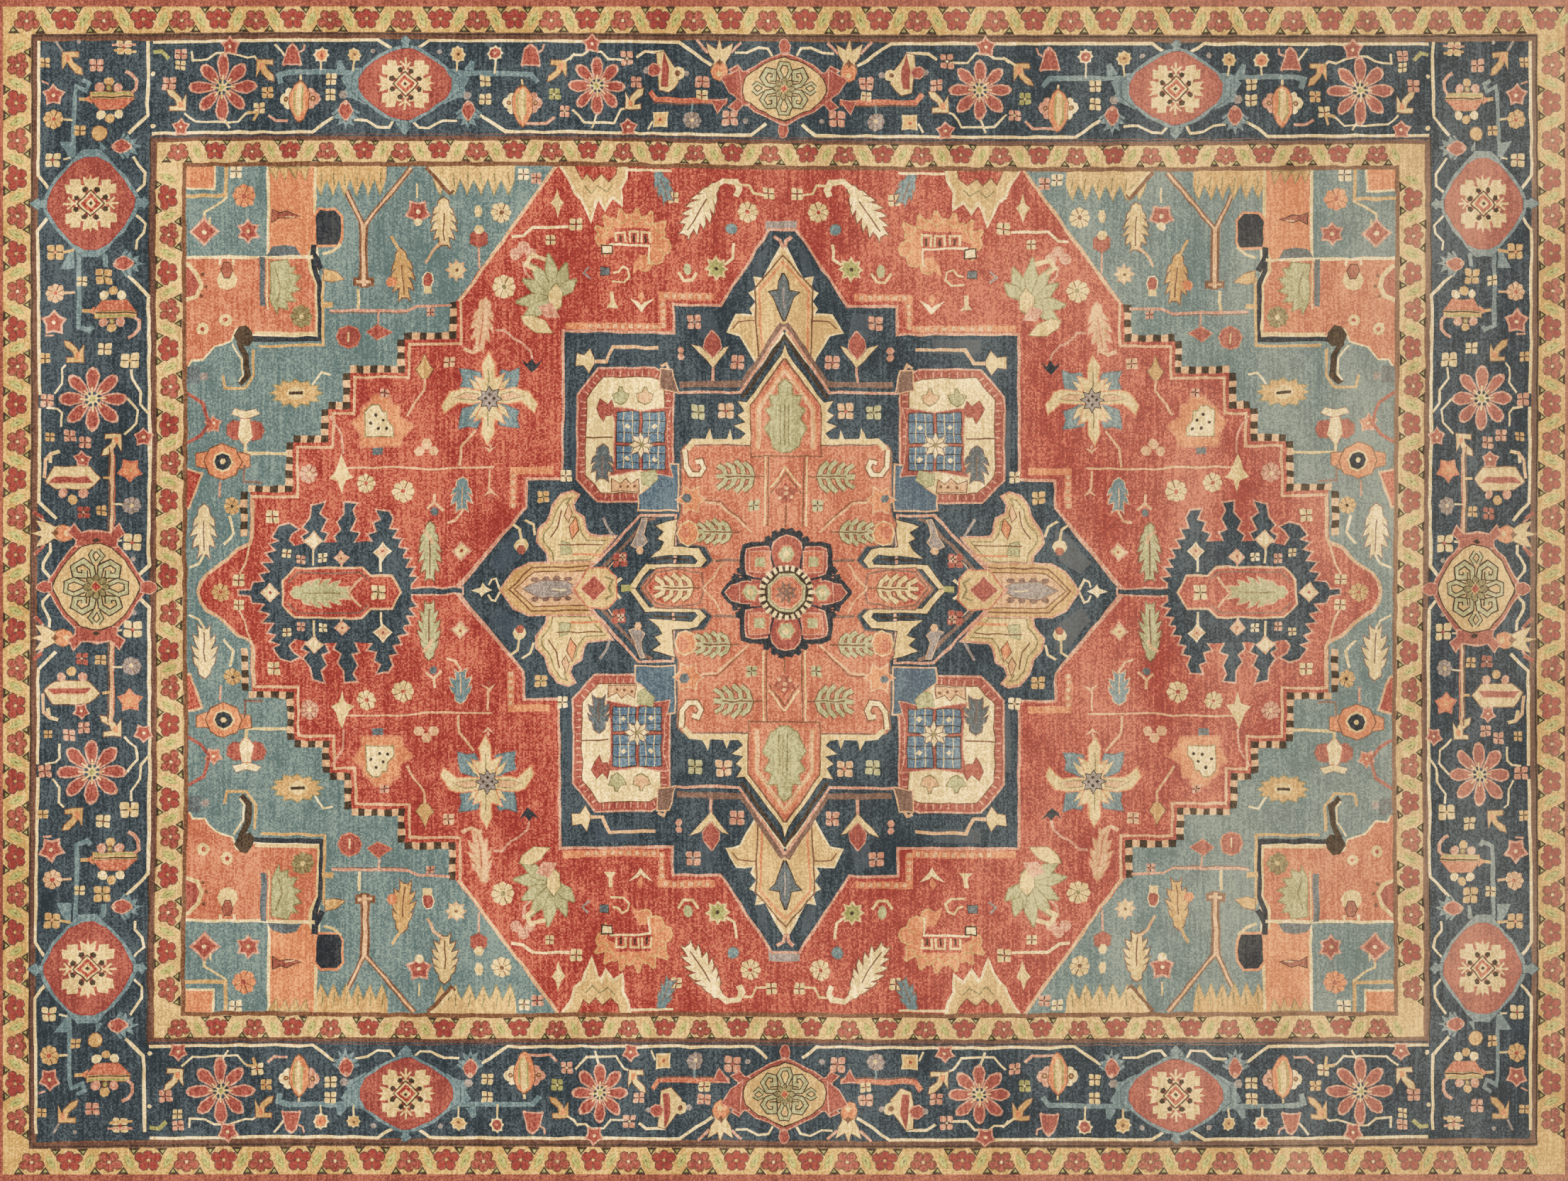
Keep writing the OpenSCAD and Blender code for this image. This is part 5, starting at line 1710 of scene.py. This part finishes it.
def weft_tree():
    """Plain weave: each weft runs along Y, over one warp and under the next, and its neighbours do the opposite."""
    tree, given = new_tree("weft_faced_band", ("Length", "Row Pitch", "Yarn", "Lift"), ("Warps", "Even Rows", "Odd Rows"))
    line = add_node(tree, "GeometryNodeCurvePrimitiveLine", {
        "Start": (0, 0, 0), "End": vector(tree, 0.0, given["Length"], 0.0),
    }).outputs[0]
    run = add_node(tree, "GeometryNodeResampleCurve", {"Curve": line, "Count": given["Warps"]}).outputs[0]
    index = add_node(tree, "GeometryNodeInputIndex").outputs[0]
    odd = add_node(tree, "ShaderNodeMath", {0: index, 1: 2.0}, operation="FLOORED_MODULO").outputs[0]
    side = add_node(tree, "ShaderNodeMath", {0: odd, 1: 2.0, 2: -1.0}, operation="MULTIPLY_ADD").outputs[0]
    rise = add_node(tree, "ShaderNodeMath", {0: side, 1: given["Lift"]}, operation="MULTIPLY").outputs[0]
    wave = add_node(tree, "GeometryNodeSetPosition", {"Geometry": run, "Offset": vector(tree, z=rise)}).outputs[0]
    section = add_node(tree, "GeometryNodeCurvePrimitiveCircle", {"Resolution": 6, "Radius": given["Yarn"]})
    weft = add_node(tree, "GeometryNodeCurveToMesh", {
        "Curve": wave, "Profile Curve": section.outputs[0], "Fill Caps": True,
    }).outputs[0]
    pitch = add_node(tree, "ShaderNodeMath", {0: given["Row Pitch"], 1: 2.0}, operation="MULTIPLY").outputs[0]
    bands = []
    for rows, start, flip in ((given["Even Rows"], 0.5, 1.0), (given["Odd Rows"], 1.5, -1.0)):
        first = add_node(tree, "ShaderNodeMath", {0: given["Row Pitch"], 1: start}, operation="MULTIPLY").outputs[0]
        spots = add_node(tree, "GeometryNodeMeshLine", {
            "Count": rows, "Start Location": vector(tree, first), "Offset": vector(tree, pitch),
        }).outputs[0]
        turned = moved(tree, weft, rotation=(0, 0 if flip > 0 else math.pi, 0))
        bands.append(add_node(tree, "GeometryNodeInstanceOnPoints", {"Points": spots, "Instance": turned}).outputs[0])
    end_tree(tree, joined(tree, bands), given["Material"])
    return tree


def tassel_tree():
    """A row of knotted tassels along +Y. Each is two warp strands twisted together, no two quite alike."""
    tree, given = new_tree("knotted_tassels", ("Length", "Turns", "Reach", "Yarn", "Knot", "Pitch", "Sway"),
                           ("Count", "Seed"))
    rope = wound(tree, given["Length"], given["Turns"], given["Reach"], given["Yarn"], 2, 6, 4)
    ball = add_node(tree, "GeometryNodeMeshIcoSphere", {"Radius": given["Knot"], "Subdivisions": 2}).outputs[0]
    knot = moved(tree, ball, translation=vector(tree, given["Knot"]))
    spots = add_node(tree, "GeometryNodeMeshLine", {
        "Count": given["Count"], "Offset": vector(tree, 0.0, given["Pitch"]),
    }).outputs[0]
    sway = add_node(tree, "ShaderNodeMath", {0: given["Sway"], 1: -1.0}, operation="MULTIPLY").outputs[0]
    turn = add_node(tree, "FunctionNodeRandomValue", {
        "Min": vector(tree, z=sway), "Max": vector(tree, z=given["Sway"]), "Seed": given["Seed"],
    }, data_type="FLOAT_VECTOR").outputs["Value"]
    size = add_node(tree, "FunctionNodeRandomValue", {
        "Min": (0.9, 0.94, 0.94), "Max": (1.0, 1.0, 1.0), "Seed": given["Seed"],
    }, data_type="FLOAT_VECTOR").outputs["Value"]
    row = add_node(tree, "GeometryNodeInstanceOnPoints", {
        "Points": spots, "Instance": joined(tree, [rope, knot]), "Rotation": turn, "Scale": size,
    }).outputs[0]
    real = add_node(tree, "GeometryNodeRealizeInstances", {"Geometry": row}).outputs[0]
    where = add_node(tree, "GeometryNodeInputPosition").outputs[0]
    bend = add_node(tree, "ShaderNodeTexNoise", {"Vector": where, "Scale": 26.0, "Detail": 1.0}).outputs[0]
    share = add_node(tree, "ShaderNodeSeparateXYZ", {0: where}).outputs[0]
    pull = add_node(tree, "ShaderNodeMath", {0: bend, 1: 0.5}, operation="SUBTRACT").outputs[0]
    give = add_node(tree, "ShaderNodeMath", {0: pull, 1: share}, operation="MULTIPLY").outputs[0]
    slide = add_node(tree, "ShaderNodeMath", {0: give, 1: 0.22}, operation="MULTIPLY").outputs[0]
    loose = add_node(tree, "GeometryNodeSetPosition", {"Geometry": real, "Offset": vector(tree, y=slide)}).outputs[0]
    end_tree(tree, loose, given["Material"])
    return tree


def grown(name, tree, values, place, node):
    """Runs a tree, keeps what it makes as a plain mesh, moves it into place and lets it stand for its node."""
    seed_mesh = bpy.data.meshes.new(name)
    piece = bpy.data.objects.new(name, seed_mesh)
    bpy.context.scene.collection.objects.link(piece)
    modifier = piece.modifiers.new("made_by_nodes", "NODES")
    modifier.node_group = tree
    sockets = {item.name: item.identifier for item in tree.interface.items_tree if item.in_out == "INPUT"}
    for key, value in values.items():
        modifier[sockets[key]] = value
    evaluated = piece.evaluated_get(bpy.context.evaluated_depsgraph_get())
    mesh = bpy.data.meshes.new_from_object(evaluated)
    piece.modifiers.remove(modifier)
    piece.data = mesh
    bpy.data.meshes.remove(seed_mesh)
    mesh.name = name
    mesh.transform(place)
    mesh.polygons.foreach_set("use_smooth", [True] * len(mesh.polygons))
    mesh.update()
    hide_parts(node)
    return piece


edges = []
winding, twining, weft, tassels = winding_tree(), twining_tree(), weft_tree(), tassel_tree()
ALONG_Y = Matrix.Rotation(math.pi / 2, 4, "Z")
TURNED = Matrix.Rotation(math.pi, 4, "Z")
for side in ("back", "front"):
    low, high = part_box(f"selvedge_wrap_{side}")
    middle = (low + high) / 2
    yarn = 0.00092
    values = {
        "Length": high.x - low.x - 2 * yarn, "Turns": (high.x - low.x) / (2 * yarn),
        "Reach": (high.y - low.y) / 2 - yarn, "Yarn": yarn,
        "Height Share": (high.z - low.z) / (high.y - low.y), "Material": WOOLS["brick"],
    }
    place = Matrix.Translation((low.x + yarn, middle.y, middle.z))
    edges.append(grown(f"overcast_selvedge_{side}", winding, values, place, f"selvedge_wrap_{side}"))

for side, turned in (("right", Matrix.Identity(4)), ("left", TURNED)):
    low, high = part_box("kilim_end_right")
    rows = 13
    pitch = (high.x - low.x) / rows
    yarn = pitch / 2 * 1.02
    values = {
        "Length": high.y - low.y, "Row Pitch": pitch, "Yarn": yarn, "Lift": (high.z - low.z) / 2 - yarn,
        "Warps": round((high.y - low.y) / KNOT), "Even Rows": 7, "Odd Rows": 6, "Material": WOOLS["kilim"],
    }
    place = turned @ Matrix.Translation((low.x, low.y, (low.z + high.z) / 2))
    edges.append(grown(f"woven_end_{side}", weft, values, place, f"kilim_end_{side}"))

    low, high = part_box("twined_cord_right")
    yarn = (high.x - low.x) / 4
    values = {
        "Length": high.y - low.y - 2 * yarn, "Turns": (high.y - low.y) / 0.0085, "Reach": yarn, "Yarn": yarn,
        "Height Share": (high.z - low.z) / (high.x - low.x), "Material": WOOLS["warp"],
    }
    place = turned @ Matrix.Translation(((low.x + high.x) / 2, low.y + yarn, (low.z + high.z) / 2)) @ ALONG_Y
    edges.append(grown(f"twined_cord_{side}_yarn", twining, values, place, f"twined_cord_{side}"))

    low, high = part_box("fringe_right")
    thick = high.z - low.z
    count = 228
    values = {
        "Length": high.x - low.x - 0.001, "Turns": 7.0, "Reach": thick * 0.24, "Yarn": thick * 0.235,
        "Knot": thick * 0.49, "Pitch": (high.y - low.y - thick) / (count - 1), "Sway": 0.045, "Count": count,
        "Seed": 11 if side == "right" else 12, "Material": WOOLS["warp"],
    }
    place = turned @ Matrix.Translation((low.x + 0.0004, low.y + thick / 2, (low.z + high.z) / 2))
    edges.append(grown(f"fringe_{side}_tassels", tassels, values, place, f"fringe_{side}"))

# The cords inside the selvedges keep their plain shape. Only their cut ends show.
for side in ("back", "front"):
    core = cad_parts[f"selvedge_core_{side}"]
    core.data.materials.clear()
    core.data.materials.append(WOOLS["warp"])


# ---- what every piece shares ----

for piece in [foundation] + pile + edges:
    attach(piece, "root")

# ---- floor, light and camera ----

scene = bpy.context.scene


def plain(name, hex_colour, roughness):
    material = bpy.data.materials.new(name)
    material.use_nodes = True
    shader = material.node_tree.nodes["Principled BSDF"]
    shader.inputs["Base Color"].default_value = linear(hex_colour)
    shader.inputs["Roughness"].default_value = roughness
    return material


floor_mesh = bpy.data.meshes.new("floor")
floor_mesh.from_pydata([(-9, -9, 0), (9, -9, 0), (9, 9, 0), (-9, 9, 0)], [], [(0, 1, 2, 3)])
floor = bpy.data.objects.new("floor", floor_mesh)
floor_mesh.materials.append(plain("studio_floor", "E6E3DE", 0.9))
scene.collection.objects.link(floor)
floor.location.z = -0.0005

for name, at, size, power in (
    ("lamp_left", (-3.5, 2.5, 5.0), 4.0, 90.0), ("lamp_right", (3.5, 2.5, 5.0), 4.0, 64.0),
    ("lamp_front", (0.0, -4.0, 5.0), 4.0, 74.0),
):
    data = bpy.data.lights.new(name, "AREA")
    data.size = size
    data.energy = power
    lamp = bpy.data.objects.new(name, data)
    lamp.location = at
    lamp.rotation_euler = (Vector((0, 0, 0)) - Vector(at)).to_track_quat("-Z", "Y").to_euler()
    scene.collection.objects.link(lamp)

world = bpy.data.worlds.new("soft_room")
world.use_nodes = True
world.node_tree.nodes["Background"].inputs[0].default_value = (1.0, 0.985, 0.96, 1.0)
world.node_tree.nodes["Background"].inputs[1].default_value = 0.6
scene.world = world

camera_data = bpy.data.cameras.new("camera")
camera_data.lens = 100.0
camera_data.sensor_width = 36.0
camera = bpy.data.objects.new("camera", camera_data)
FRAME_WIDTH = 1106 * KNOT
camera.location = (0.0, 0.0, PILE_HIGH + FRAME_WIDTH * 100.0 / 36.0)
scene.collection.objects.link(camera)
scene.camera = camera
scene.view_settings.view_transform = "Standard"
